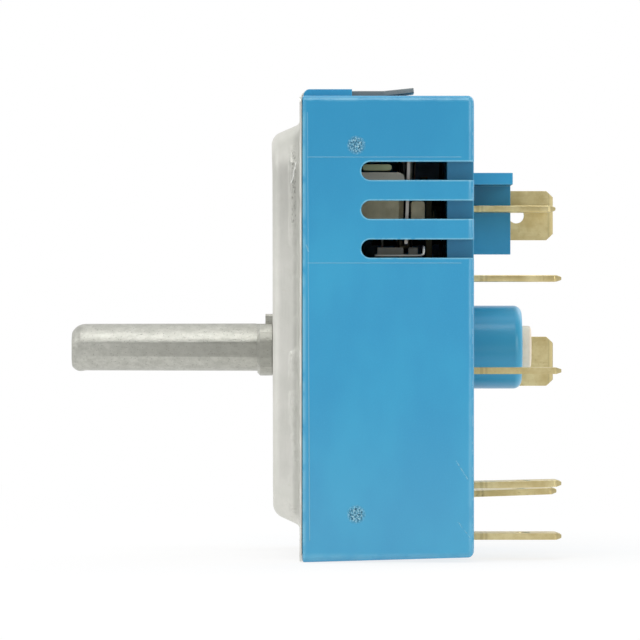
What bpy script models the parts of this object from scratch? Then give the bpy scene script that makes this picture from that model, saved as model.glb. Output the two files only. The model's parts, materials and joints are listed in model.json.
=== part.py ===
"""Cooker energy regulator: a rotary switch for a hob with two heating circuits.

A moulded case holds a bimetal snap switch and three leaf contacts round a cam drum. The shaft leaves
through a deep-drawn front plate towards -Y, the push-on terminals leave the back towards +Y, and +Z
is up. Lengths below are millimetres and angles are degrees; solid() turns lengths into metres. The
design frame has the shaft's axis on Y and the case's rim at Y = 0, and the empty switch_frame moves
it so that the origin lies under the middle of the object, on the surface it stands on.
"""

import math

import bmesh
import bpy
import numpy as np

MM = 0.001
SEAT = 0.1  # gap between pieces that touch
RUNNING = 0.08  # radial clearance of a turning fit

# Case
CASE_WIDTH = 46.0
CASE_DEPTH = 21.0
CASE_ABOVE = 30.85  # shaft axis to the top
CASE_BELOW = 26.2  # shaft axis to the underside at the rim
CASE_WALL = 1.7
CASE_BACK = 3.25
CASE_EDGE = 0.75  # rounding of the outer edges
CASE_DRAFT = 0.6  # rise of the underside from the rim to the back
LIP_WIDTH = 0.85  # outer lip that surrounds the front plate
VENT_HEIGHT = 2.25
VENT_PITCH = 4.75
VENT_TOP = 21.65  # centre of the highest vent above the shaft
VENT_FRONT = 7.2
VENT_COUNT = 3
BOSS_RADIUS = 5.25
BOSS_LENGTH = 6.65
BOSS_EDGE = 1.05
SHROUD_LENGTH = 5.5
SHROUD_WALL = 1.46
SHROUD_LEFT = -7.5
SHROUD_RIGHT = 2.0
SHROUD_BOTTOM = 11.8
SHROUD_TOP = 22.0
RIB_LENGTH = 5.4
RIB_START = 0.8
RIB_HEIGHT = 0.9
RIB_WIDTH = 1.2

# Front plate
SHEET = 0.65
PLATE_PROUD = 0.33  # the flange stands this far in front of the rim
DISH_DEPTH = 3.3  # flange to face
DISH_HALF_WIDTH = CASE_WIDTH / 2 - 2.8
DISH_HALF_HEIGHT = (CASE_ABOVE + CASE_BELOW) / 2 - 3.52
DISH_CENTRE = (CASE_ABOVE - CASE_BELOW) / 2 + 0.52
DISH_CORNER = 6.0
DISH_SHOULDER = 2.1
DISH_FILLET = 0.8
DISH_DRAFT = 0.35
DISH_BOW = 0.3  # the face's upper end stands proud by this
DISH_LEVEL = 0.55  # share of the half height that stays flat
HOLE_ROUND = 1.25  # entry rounding of the shaft's hole, which is drawn inwards
HOLE_NECK = 0.6
FIXING_PITCH = 28.0
FIXING_RADIUS = 1.65
FIXING_NECK = 0.95
TONGUE_WIDTH = 6.3
TONGUE_CENTRE = CASE_WIDTH / 2 - 7.5
TONGUE_REACH = 14.0
TONGUE_LIFT = 0.4
TONGUE_BEND = 0.75  # outer radius of its fold

# Shaft
SHAFT_DIAMETER = 6.0
SHAFT_TIP = -29.2
SHAFT_TIP_ROUND = 1.4
SHAFT_INNER_END = 9.5
FLAT_DEPTH = 1.4
FLAT_END = -8.0
COLLAR_RADIUS = 3.6
COLLAR_LENGTH = 1.95
NUB_HEIGHT = 4.2
NUB_WIDTH = 1.8
NUB_LENGTH = 0.95

# Cam drum
TURN = 285.0  # from off to the second ring's click
CAM_BASE = 7.0
CAM_REAR = 14.5
FACE_CAM_RADIUS = 11.0
FACE_CAM_FRONT = -1.7
FACE_CAM_LOW = 0.6
FACE_CAM_RISE = 1.5
JOURNAL_RADIUS = 2.7
JOURNAL_PROUD = 1.2
LOBE_HALF_ANGLE = 24.0
NOSE_GAP = 0.12  # between a lobe and the leaf that it lifts

# Terminals
TAB_WIDTH = 6.3
TAB_THICKNESS = 0.8
TAB_REACH = 11.0
TAB_CORNER = 0.85
TAB_BEVEL = 0.63
TAB_TIP_THICKNESS = 0.4
TAB_HOLE = 2.0
TAB_HOLE_FROM_TIP = 4.7
TAB_SHOULDER = 0.5  # each side, inside the case
RIGHT_TABS = CASE_WIDTH / 2 - 9.85  # middle of the four terminals on the vented side
TOP_TAB = (-2.65, 17.5)
MAINS_OUT_HEIGHT = 8.57
MAINS_IN_HEIGHT = -2.84
RING_IN_HEIGHT = -17.0
PILOT_HEIGHT = -23.3
RING_OUT = (-0.15, -18.5)
HEAT_TAB = (-8.2, 16.8)
LOAD_TAB = (-8.0, -1.85)

# Leaf contacts
LEAF = 0.3
CONTACT_RADIUS = 1.2
CONTACT_HEIGHT = 0.6
CLOSED_GAP = 0.12
RIVET_RADIUS = 0.6
LEAF_WIDTH = 2.6
FOOT_GAP = 0.3  # between a leaf's foot and what carries it
HEAD_GAP = 0.25  # between a leaf's foot and its rivet's head
BEND = 0.5
NOSE_HALF = 1.8
RING_NOSE_DEPTH = 2.9
PILOT_BAND = 4.7  # middle of each cam track, back from the rim
MAINS_BAND = 8.6
RING_BAND = 12.3
MAINS_TRAVEL = 1.3
RING_LIFT = 1.0

# Bimetal stack
STRIP = 0.38
STRIP_PLANE = 12.95
STRIP_LOW = 12.8
STRIP_HIGH = 24.4
STRIP_NEAR = CASE_WIDTH / 2 - 4.6
STRIP_FAR = 5.8 - CASE_WIDTH / 2
STACK_CENTRE = CASE_WIDTH / 2 - 7.65
STACK_WIDTH = 6.1
CARRIER_FRONT = 5.6
CARRIER_LOW = 14.0
CARRIER_HIGH = 21.6
BIMETAL_SWING = 0.93
SNAP_PLANE = 10.2
SNAP_PIVOT = 16.0
SNAP_FOOT = -2.0
SNAP_MIDDLE = 7.5 - CASE_WIDTH / 2
PIN_HEIGHT = 8.8
PIN_RADIUS = 0.9
STRIP_LEAN = 0.035
STRIP_EAR = 15.6  # plane of the mains output's ear
STACK_RIVET = 16.0
STACK_RIVET_RADIUS = 0.8
BLOCK_GAP = 0.2
SLEEVE_WALL = 0.35
HEATER_HALF = CASE_WIDTH / 2 - 15
HEATER_TURNS = 12
WIRE = 0.5

# Setting lever
LEVER_AXIS = (3.8, CASE_ABOVE - 4.85)  # back from the rim, above the shaft
LEVER_MIDDLE = -1.0
LEVER_KNUCKLE = 6.0
LEVER_THICKNESS = 0.8
LEVER_PIN_RADIUS = 0.8
LUG_THICKNESS = 1.4
LUG_RADIUS = 1.8
SCREW_HEIGHT = 11.6
SCREW_RADIUS = 0.9
SCREW_TIP = 8.0

# Wave washer
WASHER = (4.2, 6.2)  # inner and outer radius

# Detent
DETENT_ROOT = -11.0
DETENT_SEAT = -16.2
DETENT_BAND = -0.55
DETENT_RIVET = 0.5

CAVITY_FLOOR = CASE_DEPTH - CASE_BACK
TAB_TIP = CASE_DEPTH + TAB_REACH
PLATE_BACK = SHEET - PLATE_PROUD
FACE = -PLATE_PROUD - DISH_DEPTH
FRAME_SHIFT = (0.0, -(SHAFT_TIP + TAB_TIP) / 2, CASE_BELOW)

COLOURS = {
    "blue_moulding": ((0.06, 0.31, 0.55), 0.42, 0.0),
    "zinc_steel": ((0.60, 0.60, 0.57), 0.35, 1.0),
    "die_cast": ((0.42, 0.42, 0.39), 0.50, 1.0),
    "cream_moulding": ((0.80, 0.66, 0.54), 0.50, 0.0),
    "brass": ((0.62, 0.50, 0.22), 0.35, 1.0),
    "grey_ceramic": ((0.48, 0.44, 0.36), 0.70, 0.0),
    "spring_steel": ((0.45, 0.44, 0.42), 0.35, 1.0),
    "silver": ((0.75, 0.74, 0.70), 0.30, 1.0),
    "resistance_wire": ((0.25, 0.21, 0.18), 0.55, 1.0),
}


def material(name):
    """The Principled material of that name, made on first use."""
    if name in bpy.data.materials:
        return bpy.data.materials[name]
    colour, roughness, metallic = COLOURS[name]
    made = bpy.data.materials.new(name)
    made.use_nodes = True
    shader = made.node_tree.nodes["Principled BSDF"]
    shader.inputs["Base Color"].default_value = (*colour, 1.0)
    shader.inputs["Roughness"].default_value = roughness
    shader.inputs["Metallic"].default_value = metallic
    made.diffuse_color = (*colour, 1.0)
    return made


def solid(name, points, faces, finish, carrier=None, sharp=30.0):
    """An object from points in millimetres, its faces turned outwards, under its carrying empty."""
    mesh = bpy.data.meshes.new(name)
    offset = np.zeros(3) if carrier is None else np.array(carrier["centre"][:])
    mesh.from_pydata(((np.asarray(points, float) - offset) * MM).tolist(), [], faces)
    shape = bmesh.new()
    shape.from_mesh(mesh)
    bmesh.ops.recalc_face_normals(shape, faces=shape.faces)
    shape.to_mesh(mesh)
    shape.free()
    mesh.shade_smooth()
    mesh.set_sharp_from_angle(angle=math.radians(sharp))
    mesh.materials.append(material(finish))
    made = bpy.data.objects.new(name, mesh)
    bpy.context.scene.collection.objects.link(made)
    made.parent = carrier or bpy.data.objects["switch_frame"]
    return made


def helper(points, faces):
    """A hidden solid that a Boolean uses."""
    made = solid("tool", points, faces, "die_cast")
    made.hide_render = True
    made.display_type = "WIRE"
    return made


def boolean(target, operation, shape):
    """Adds a Boolean with the hidden solid that shape, (points, faces), describes."""
    cutter = helper(*shape)
    step = target.modifiers.new(operation.lower(), "BOOLEAN")
    step.operation = operation
    step.solver = "EXACT"
    step.object = cutter


def cut(target, shape):
    boolean(target, "DIFFERENCE", shape)


def join(target, shape):
    boolean(target, "UNION", shape)


def pivot(name, centre):
    """An empty on a joint's axis; pieces under it have their origin there."""
    made = bpy.data.objects.new(name, None)
    bpy.context.scene.collection.objects.link(made)
    made.parent = bpy.data.objects["switch_frame"]
    made.location = [part * MM for part in centre]
    made["centre"] = [float(part) for part in centre]
    return made


def lofted(rings):
    """A closed skin through rings of equal point count, capped at both ends."""
    count = len(rings[0])
    points = np.concatenate(rings)
    faces = [tuple(range(count))[::-1]]
    for ring in range(len(rings) - 1):
        low, high = ring * count, (ring + 1) * count
        for k in range(count):
            after = (k + 1) % count
            faces.append((low + k, low + after, high + after, high + k))
    last = (len(rings) - 1) * count
    faces.append(tuple(range(last, last + count)))
    return points, faces


def arc(centre, radius, start, end, steps):
    """Points on a circle from one angle to another."""
    turn = np.radians(np.linspace(start, end, steps + 1))
    return np.stack([centre[0] + radius * np.cos(turn), centre[1] + radius * np.sin(turn)], axis=1)


def rounded_outline(left, right, bottom, top, radius, steps=4):
    """A rectangle with its corners rounded, anticlockwise from its lower right side."""
    corners = (
        ((right - radius, bottom + radius), -90),
        ((right - radius, top - radius), 0),
        ((left + radius, top - radius), 90),
        ((left + radius, bottom + radius), 180),
    )
    return np.concatenate([arc(centre, radius, at, at + 90, steps) for centre, at in corners])


def placed(outline, axis, at):
    """Puts a flat outline at a height on an axis: (y, z) on X, (x, z) on Y and (x, y) on Z."""
    return np.insert(np.asarray(outline, float), "XYZ".index(axis), at, axis=1)


def extruded(outline, axis, low, high):
    """A prism of the outline between two heights on an axis."""
    return lofted([placed(outline, axis, low), placed(outline, axis, high)])


def box(x, y, z):
    """A box from three (low, high) pairs."""
    return extruded([(x[0], y[0]), (x[1], y[0]), (x[1], y[1]), (x[0], y[1])], "Z", *z)


def turned(profile, axis="Y", centre=(0.0, 0.0), segments=32):
    """A solid of revolution through (radius, height) points, about an axis through centre."""
    angles = np.arange(segments) * 2 * math.pi / segments
    circle = np.stack([np.cos(angles), np.sin(angles)], axis=1)
    return lofted([placed(np.array(centre) + radius * circle, axis, at) for radius, at in profile])


def peg(axis, centre, low, high, radius, segments=20):
    return turned([(radius, low), (radius, high)], axis, centre, segments)


def rivet_profile(low, high, shank=RIVET_RADIUS, head=1.0, thick=0.35):
    """A shank between low and high with a domed head beyond each."""
    return [
        (head * 0.6, low - thick),
        (head, low - thick * 0.4),
        (head, low),
        (shank, low),
        (shank, high),
        (head, high),
        (head, high + thick * 0.4),
        (head * 0.6, high + thick),
    ]


def swept_strip(stations, axis, middle):
    """A strip bent along a flat path.

    Each station is (a, b, width, thickness), where (a, b) is a point of the path in the plane across
    the axis. The width lies along the axis about middle, and a bend's corner is mitred.
    """
    path = np.array([station[:2] for station in stations], float)
    leg = np.diff(path, axis=0)
    leg /= np.linalg.norm(leg, axis=1)[:, None]
    side = np.stack([-leg[:, 1], leg[:, 0]], axis=1)
    rings = []
    for k, (point, station) in enumerate(zip(path, stations)):
        before, after = side[max(k - 1, 0)], side[min(k, len(side) - 1)]
        across = before + after
        across /= across @ after
        inner, outer = (point + way * across * station[3] / 2 for way in (-1, 1))
        ends = (middle - station[2] / 2, middle + station[2] / 2)
        rings.append(
            np.concatenate(
                [placed([inner], axis, ends[0]), placed([outer], axis, ends[0]),
                 placed([outer], axis, ends[1]), placed([inner], axis, ends[1])]
            )
        )
    return lofted(rings)


def strip(path, axis, middle, width, thickness):
    return swept_strip([(a, b, width, thickness) for a, b in path], axis, middle)


def rounded_path(path, radius, steps=3):
    """The path with each inner corner replaced by an arc of that radius."""
    path = [np.array(point, float) for point in path]
    found = [path[0]]
    for before, corner, after in zip(path, path[1:], path[2:]):
        back = (before - corner) / np.linalg.norm(before - corner)
        ahead = (after - corner) / np.linalg.norm(after - corner)
        half = math.acos(max(-1.0, min(1.0, float(back @ ahead)))) / 2
        reach = radius / math.tan(half)
        middle = (back + ahead) / np.linalg.norm(back + ahead)
        centre = corner + middle * radius / math.sin(half)
        start, end = corner + back * reach - centre, corner + ahead * reach - centre
        for share in np.linspace(0, 1, steps + 1):
            spoke = start * (1 - share) + end * share
            found.append(centre + radius * spoke / np.linalg.norm(spoke))
    found.append(path[-1])
    return found


def case_ring(y, inset, corner):
    """The case's outline at a depth, drawn in by inset all round."""
    half = CASE_WIDTH / 2 - inset
    low = -CASE_BELOW + CASE_DRAFT * y / CASE_DEPTH + inset
    outline = rounded_outline(-half, half, low, CASE_ABOVE - inset, corner)
    return placed(outline, "Y", y)


def tab_slots():
    """The opening that each terminal passes through in the back wall."""
    half, thin = TAB_WIDTH / 2 + SEAT, TAB_THICKNESS / 2 + SEAT
    flat = [(RIGHT_TABS, height) for height in (MAINS_OUT_HEIGHT, MAINS_IN_HEIGHT, RING_IN_HEIGHT, PILOT_HEIGHT)]
    for x, z in [*flat, TOP_TAB, RING_OUT]:
        yield (x - half, x + half), (z - thin, z + thin)
    for x, z in (HEAT_TAB, LOAD_TAB):
        yield (x - thin, x + thin), (z - half, z + half)


def make_case():
    """The moulding: outer skin from the back round the rim and down to the cavity's floor."""
    rings = []
    for turn in np.radians(np.linspace(0, 90, 4)):
        inset = CASE_EDGE * (1 - math.sin(turn))
        rings.append(case_ring(CASE_DEPTH - CASE_EDGE * (1 - math.cos(turn)), inset, CASE_EDGE))
    rim_round = LIP_WIDTH / 3
    ledge = PLATE_BACK + SEAT
    rings += [
        case_ring(rim_round, 0.0, CASE_EDGE),
        case_ring(0.0, rim_round, CASE_EDGE),
        case_ring(0.0, LIP_WIDTH, CASE_EDGE),
        case_ring(ledge, LIP_WIDTH, CASE_EDGE),
        case_ring(ledge, CASE_WALL, CASE_EDGE),
        case_ring(CAVITY_FLOOR, CASE_WALL, CASE_EDGE),
    ]
    case = solid("case", *lofted(rings), "blue_moulding")
    sunk = CASE_BACK / 3
    boss_end = CASE_DEPTH + BOSS_LENGTH
    edge = arc((BOSS_RADIUS - BOSS_EDGE, boss_end - BOSS_EDGE), BOSS_EDGE, 0, 90, 4)
    join(case, turned([(BOSS_RADIUS, CASE_DEPTH - sunk), *map(tuple, edge)]))
    top_wall, side_wall = SHROUD_TOP - SHROUD_WALL, SHROUD_LEFT + SHROUD_WALL
    shroud = [
        (SHROUD_LEFT, SHROUD_BOTTOM), (side_wall, SHROUD_BOTTOM), (side_wall, top_wall),
        (SHROUD_RIGHT, top_wall), (SHROUD_RIGHT, SHROUD_TOP), (SHROUD_LEFT, SHROUD_TOP),
    ]
    join(case, extruded(shroud, "Y", CASE_DEPTH - sunk, CASE_DEPTH + SHROUD_LENGTH))
    for way in (-1, 1):
        near = TONGUE_CENTRE + way * (TONGUE_WIDTH / 2 + 2 * SEAT + RIB_WIDTH / 2)
        outline = rounded_outline(RIB_START, RIB_START + RIB_LENGTH, CASE_ABOVE - CASE_WALL / 2,
                                  CASE_ABOVE + RIB_HEIGHT, RIB_HEIGHT / 4, 2)
        join(case, extruded(outline, "X", near - RIB_WIDTH / 2, near + RIB_WIDTH / 2))
    for low, high in lever_lugs():
        join(case, extruded(lug_outline(), "X", low, high))
        cut(case, peg("X", LEVER_AXIS, low - 1, high + 1, LEVER_PIN_RADIUS + SEAT / 2))
    cut(case, peg("Y", (0, 0), CAVITY_FLOOR - 1, boss_end + 1, JOURNAL_RADIUS + RUNNING, 32))
    for x, z in tab_slots():
        cut(case, box(x, (CAVITY_FLOOR - 1, CASE_DEPTH + 1), z))
    half = VENT_HEIGHT / 2
    for k in range(VENT_COUNT):
        height = VENT_TOP - k * VENT_PITCH
        round_end = arc((VENT_FRONT + half, height), half, 90, 270, 8)
        outline = [*round_end, (CASE_DEPTH + 1, height - half), (CASE_DEPTH + 1, height + half)]
        deep = CASE_WIDTH / 2 - CASE_WALL - SEAT
        cut(case, extruded(outline, "X", deep, CASE_WIDTH / 2 + 1))
    notch = TONGUE_WIDTH / 2 + 1.5 * SEAT
    cut(case, box((TONGUE_CENTRE - notch, TONGUE_CENTRE + notch), (-1, ledge),
                  (CASE_ABOVE - CASE_WALL + SEAT, CASE_ABOVE + RIB_HEIGHT + 1)))
    return case


def dish_ring(inset, y):
    """The dish's outline, drawn in by inset, with the face's bow towards the top."""
    half, tall = DISH_HALF_WIDTH - inset, DISH_HALF_HEIGHT - inset
    outline = rounded_outline(-half, half, DISH_CENTRE - tall, DISH_CENTRE + tall,
                              max(DISH_CORNER - inset, 1.0), 5)
    ring = placed(outline, "Y", y)
    level = DISH_HALF_HEIGHT * DISH_LEVEL
    rise = np.clip((ring[:, 2] - DISH_CENTRE - level) / (DISH_HALF_HEIGHT - level), 0, 1)
    ring[:, 1] -= DISH_BOW * rise**2 * max(-PLATE_PROUD - y, 0) / DISH_DEPTH
    return ring


def flange_ring(y):
    half = CASE_WIDTH / 2 - LIP_WIDTH - SEAT
    low = -CASE_BELOW + LIP_WIDTH + SEAT
    high = CASE_ABOVE - LIP_WIDTH - SEAT
    return placed(rounded_outline(-half, half, low, high, CASE_EDGE, 5), "Y", y)


def dish_profile(thick):
    """(inset, y) down the dish's wall; thick is 0 for the outer skin and the sheet for the inner."""
    base, shoulder = -PLATE_PROUD + thick, DISH_SHOULDER - thick
    fillet = DISH_FILLET + thick
    low = arc((thick - fillet, base - fillet), fillet, 90, 0, 3)
    top = arc((DISH_DRAFT + DISH_SHOULDER, FACE + DISH_SHOULDER), shoulder, 180, 270, 4)
    return [*map(tuple, low), *map(tuple, top), (DISH_HALF_HEIGHT * (1 - DISH_LEVEL), FACE + thick)]


def make_front_plate():
    """The sheet: flange and dish outside, round the flange's edge, and back down inside."""
    outside = [dish_ring(inset, y) for inset, y in dish_profile(0.0)]
    inside = [dish_ring(inset, y) for inset, y in dish_profile(SHEET)]
    edge = [flange_ring(-PLATE_PROUD), flange_ring(PLATE_BACK)]
    plate = solid("front_plate", *lofted([*outside[::-1], *edge, *inside]), "zinc_steel")
    top = CASE_ABOVE + SEAT + SHEET / 2
    fold = TONGUE_BEND - SHEET / 2
    middle = PLATE_BACK - SHEET / 2
    bend = TONGUE_REACH * 0.72
    path = rounded_path([(middle, CASE_ABOVE - CASE_WALL), (middle, top), (bend, top)], fold, 4)
    path.append((TONGUE_REACH, top + TONGUE_LIFT))
    join(plate, strip(path, "X", TONGUE_CENTRE, TONGUE_WIDTH, SHEET * 0.98))
    neck = FIXING_RADIUS + SHEET * 1.3
    for way in (-1, 1):
        at = (way * FIXING_PITCH / 2, 0.0)
        join(plate, peg("Y", at, FACE + SHEET / 2, FACE + SHEET + FIXING_NECK, neck, 24))
        cut(plate, peg("Y", at, FACE - 2, 0, FIXING_RADIUS, 24))
    bore = SHAFT_DIAMETER / 2 + SEAT
    inner = FACE + SHEET + HOLE_NECK
    join(plate, peg("Y", (0, 0), FACE + SHEET / 2, inner, bore + SHEET, 32))
    entry = arc((bore + HOLE_ROUND, FACE + HOLE_ROUND), HOLE_ROUND, 270, 180, 4)
    mouth = [(bore + HOLE_ROUND, FACE - 1), *map(tuple, entry), (bore, inner + 1)]
    cut(plate, turned(mouth))
    lug = ((DETENT_ROOT - 2, DETENT_ROOT + 2), (FACE + SHEET / 2, DETENT_BAND + 1.2))
    join(plate, box(*lug, (DETENT_SEAT - SHEET, DETENT_SEAT)))
    hole = (DETENT_ROOT, DETENT_BAND)
    cut(plate, peg("Z", hole, DETENT_SEAT - SHEET - 0.1, DETENT_SEAT + 0.1, DETENT_RIVET + SEAT, 16))
    return plate


def make_shaft(carrier):
    """The die casting: a round bar with a flat, its collar cut level on top, and the nub."""
    radius = SHAFT_DIAMETER / 2
    tip = arc((radius - SHAFT_TIP_ROUND, SHAFT_TIP + SHAFT_TIP_ROUND), SHAFT_TIP_ROUND, 270, 360, 4)
    shaft = solid("shaft", *turned([*map(tuple, tip), (radius, SHAFT_INNER_END)]), "die_cast", carrier)
    collar_back = FACE - 1.5 * SEAT
    collar_front = collar_back - COLLAR_LENGTH
    chamfer = (COLLAR_RADIUS - radius) / 2
    profile = [(radius / 2, collar_front), (COLLAR_RADIUS - chamfer, collar_front),
               (COLLAR_RADIUS, collar_front + chamfer), (COLLAR_RADIUS, collar_back), (radius / 2, collar_back)]
    collar = helper(*turned(profile))
    trim = collar.modifiers.new("level", "BOOLEAN")
    trim.operation = "DIFFERENCE"
    trim.object = helper(*box((-9, 9), (collar_front - 1, collar_back + 1), (radius * 0.985, 9)))
    step = shaft.modifiers.new("collar", "BOOLEAN")
    step.operation = "UNION"
    step.object = collar
    nub = rounded_outline(-NUB_WIDTH / 2, NUB_WIDTH / 2, radius / 2, NUB_HEIGHT, NUB_WIDTH / 6, 2)
    join(shaft, extruded(nub, "Y", collar_back - NUB_LENGTH, collar_back - SEAT / 2))
    level = -(radius - FLAT_DEPTH)
    for low, high in ((SHAFT_TIP - 1, FLAT_END), (FACE_CAM_FRONT - SEAT, SHAFT_INNER_END + 1)):
        cut(shaft, box((-9, level), (low, high), (-9, 9)))
    return shaft


def bump(offset):
    """A lobe's height, 0 to 1, at an angle from its crest."""
    share = np.clip(1 - np.abs(offset) / LOBE_HALF_ANGLE, 0, 1)
    return share**2 * (3 - 2 * share)


def away(angles, crest):
    return (angles - crest + 180) % 360 - 180


def make_cam_drum(carrier):
    """The moulding: a face cam in front, three lobed tracks, and the journal behind."""
    segments = 72
    angles = np.arange(segments) * 360 / segments
    spoke = np.stack([np.cos(np.radians(angles)), np.sin(np.radians(angles))], axis=1)

    def ring(radius, y):
        flat = spoke * np.broadcast_to(radius, segments)[:, None]
        return np.stack([flat[:, 0], np.broadcast_to(y, segments), flat[:, 1]], axis=1)

    margin = 12.0
    along = (angles - 90 + margin) % 360
    rising = FACE_CAM_RISE * np.clip((along - margin) / TURN, 0, 1)
    falling = FACE_CAM_RISE * (360 - along) / (360 - TURN - 2 * margin)
    ramp = FACE_CAM_LOW + np.clip(np.minimum(rising, falling), 0, FACE_CAM_RISE)
    ring_gap = (MAINS_BAND - PILOT_BAND - LEAF_WIDTH) / 4
    half = LEAF_WIDTH / 2 + ring_gap
    tracks = (
        (PILOT_BAND, pilot_lift(), pilot_angle()),
        (MAINS_BAND, mains_lift(), mains_angle()),
        (RING_BAND, ring_lift(), ring_angle()),
    )
    rim = FACE_CAM_RADIUS
    rings = [
        ring(rim - 0.4, FACE_CAM_FRONT),
        ring(rim, FACE_CAM_FRONT + 0.4),
        ring(rim - rim_notch(angles), ramp),
        ring(CAM_BASE + 1.0, ramp),
        ring(CAM_BASE, FACE_CAM_LOW + FACE_CAM_RISE + 0.2),
    ]
    for band, lift, crest in tracks:
        raised = CAM_BASE + lift * bump(away(angles, crest))
        rings += [ring(CAM_BASE, band - half), ring(raised, band - half + 0.05),
                  ring(raised, band + half - 0.05), ring(CAM_BASE, band + half)]
    end = CASE_DEPTH + BOSS_LENGTH + JOURNAL_PROUD
    soft = JOURNAL_RADIUS / 8
    rings += [ring(CAM_BASE, CAM_REAR), ring(JOURNAL_RADIUS, CAM_REAR), ring(JOURNAL_RADIUS, end - soft),
              ring(JOURNAL_RADIUS - soft * 0.3, end - soft * 0.3), ring(JOURNAL_RADIUS - soft, end)]
    drum = solid("cam_drum", *lofted(rings), "cream_moulding", carrier)
    bore = SHAFT_DIAMETER / 2 + SEAT / 2
    level = SHAFT_DIAMETER / 2 - FLAT_DEPTH + SEAT / 2
    side = math.degrees(math.acos(level / bore))
    outline = arc((0, 0), bore, side - 180, 180 - side, 24)
    cut(drum, extruded(outline, "Y", FACE_CAM_FRONT - 1, SHAFT_INNER_END + SEAT))
    return drum


def rim_notch(angles):
    """Depth of the off notch in the face cam's rim, facing down at rest."""
    return 0.5 * bump(away(angles, -90) * LOBE_HALF_ANGLE / 12)


def polar(radius, angle):
    return np.array([radius * math.cos(math.radians(angle)), radius * math.sin(math.radians(angle))])


def swung(point, centre, angle):
    """A point of the X-Z plane turned anticlockwise about a centre."""
    turn = math.radians(angle)
    x, z = np.asarray(point, float) - centre
    return np.array([x * math.cos(turn) - z * math.sin(turn), x * math.sin(turn) + z * math.cos(turn)]) + centre


# Mains leaf: it stands on the mains input and closes on a flange of the mains output.
MAINS_FLANGE = RIGHT_TABS - TAB_WIDTH / 2 + TAB_THICKNESS / 2 + 0.05
MAINS_FACE = MAINS_FLANGE + TAB_THICKNESS / 2
MAINS_LEAF = MAINS_FACE + 2 * CONTACT_HEIGHT + CLOSED_GAP + MAINS_TRAVEL + LEAF / 2
MAINS_FOOT = MAINS_IN_HEIGHT + TAB_THICKNESS / 2 + FOOT_GAP + LEAF / 2
MAINS_PIVOT = np.array([MAINS_LEAF + 1.6, MAINS_FOOT])
MAINS_CONTACT = MAINS_OUT_HEIGHT - TAB_THICKNESS / 2 - CONTACT_RADIUS - 0.6
MAINS_SWING = math.degrees(MAINS_TRAVEL / (MAINS_CONTACT - MAINS_FOOT))
MAINS_NOSE = swung(polar(CAM_BASE + NOSE_GAP, 10), MAINS_PIVOT, -MAINS_SWING)

# Pilot leaf: it stands on a strap of the pilot terminal and closes on a leg of the load terminal.
PILOT_LEG = LOAD_TAB[0] - TAB_THICKNESS / 2 - 0.9
PILOT_TRAVEL = 0.9
PILOT_LEAF = PILOT_LEG - TAB_THICKNESS / 2 - 2 * CONTACT_HEIGHT - CLOSED_GAP - PILOT_TRAVEL - LEAF / 2
PILOT_STRAP_TOP = PILOT_HEIGHT + TAB_THICKNESS / 2
PILOT_FOOT = (PILOT_STRAP_TOP + 0.6, PILOT_STRAP_TOP + 4.8)
PILOT_PIVOT = np.array([PILOT_LEAF, sum(PILOT_FOOT) / 2])
PILOT_SWING = math.degrees(PILOT_TRAVEL / (LOAD_TAB[1] - PILOT_PIVOT[1]))
PILOT_NOSE = swung(polar(CAM_BASE + NOSE_GAP, 156), PILOT_PIVOT, PILOT_SWING)

# Second-ring leaf: it hangs on a flange of its input and closes on the output's shelf.
RING_FLANGE = RIGHT_TABS + TAB_WIDTH / 2 - TAB_THICKNESS / 2 - 0.05
RING_FOOT_PLANE = RING_FLANGE - TAB_THICKNESS / 2 - FOOT_GAP - LEAF / 2
RING_LEAF = -(CAM_BASE + NOSE_GAP + RING_NOSE_DEPTH)
RING_FOOT = (RING_IN_HEIGHT + TAB_THICKNESS / 2 + 0.6, RING_LEAF)
RING_PIVOT = np.array([RING_FOOT_PLANE, RING_FOOT[0] + 2.2])
RING_SWING = math.degrees(RING_LIFT / RING_FOOT_PLANE)
RING_NOSE = swung((0, -(CAM_BASE + NOSE_GAP)), RING_PIVOT, RING_SWING)
RING_CONTACT = RING_OUT[0] - TAB_WIDTH / 2 + 0.5
RING_TRAVEL = math.radians(RING_SWING) * (RING_FOOT_PLANE - RING_CONTACT)
RING_SHELF = RING_LEAF - LEAF / 2 - 2 * CONTACT_HEIGHT - CLOSED_GAP - RING_TRAVEL - TAB_THICKNESS / 2

# Snap switch: the leaf lies behind a plate of the heating terminal and rests on the load terminal.
SNAP_PLATE = SNAP_PLANE - LEAF / 2 - FOOT_GAP - TAB_THICKNESS / 2
LOAD_FACE = SNAP_PLANE + LEAF / 2 + 2 * CONTACT_HEIGHT + CLOSED_GAP
INNER_PLANE = CAVITY_FLOOR - 1.35  # where the upright terminals turn inside the case


def mains_lift():
    return float(np.linalg.norm(MAINS_NOSE)) - CAM_BASE - NOSE_GAP


def mains_angle():
    return math.degrees(math.atan2(MAINS_NOSE[1], MAINS_NOSE[0]))


def pilot_lift():
    return float(np.linalg.norm(PILOT_NOSE)) - CAM_BASE - NOSE_GAP


def pilot_angle():
    return math.degrees(math.atan2(PILOT_NOSE[1], PILOT_NOSE[0]))


def ring_lift():
    return float(np.linalg.norm(RING_NOSE)) - CAM_BASE - NOSE_GAP


def ring_angle():
    """The lobe's place at rest: it meets the nose at the end of the turn."""
    return math.degrees(math.atan2(RING_NOSE[1], RING_NOSE[0])) + TURN


def lever_lugs():
    """The two lugs of the case that hold the lever's pin, as spans of X."""
    for edge, way in ((-LEVER_KNUCKLE / 2, -1), (LEVER_KNUCKLE / 2, 1)):
        near = LEVER_MIDDLE + edge + way * 3 * SEAT
        yield tuple(sorted((near, near + way * LUG_THICKNESS)))


def lug_outline():
    """A lug from the side: a round end below, running up into the case's top wall."""
    foot = arc(LEVER_AXIS, LUG_RADIUS, 180, 360, 8)
    high = CASE_ABOVE - CASE_WALL / 2
    return [*map(tuple, foot), (LEVER_AXIS[0] + LUG_RADIUS, high), (LEVER_AXIS[0] - LUG_RADIUS, high)]


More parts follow.
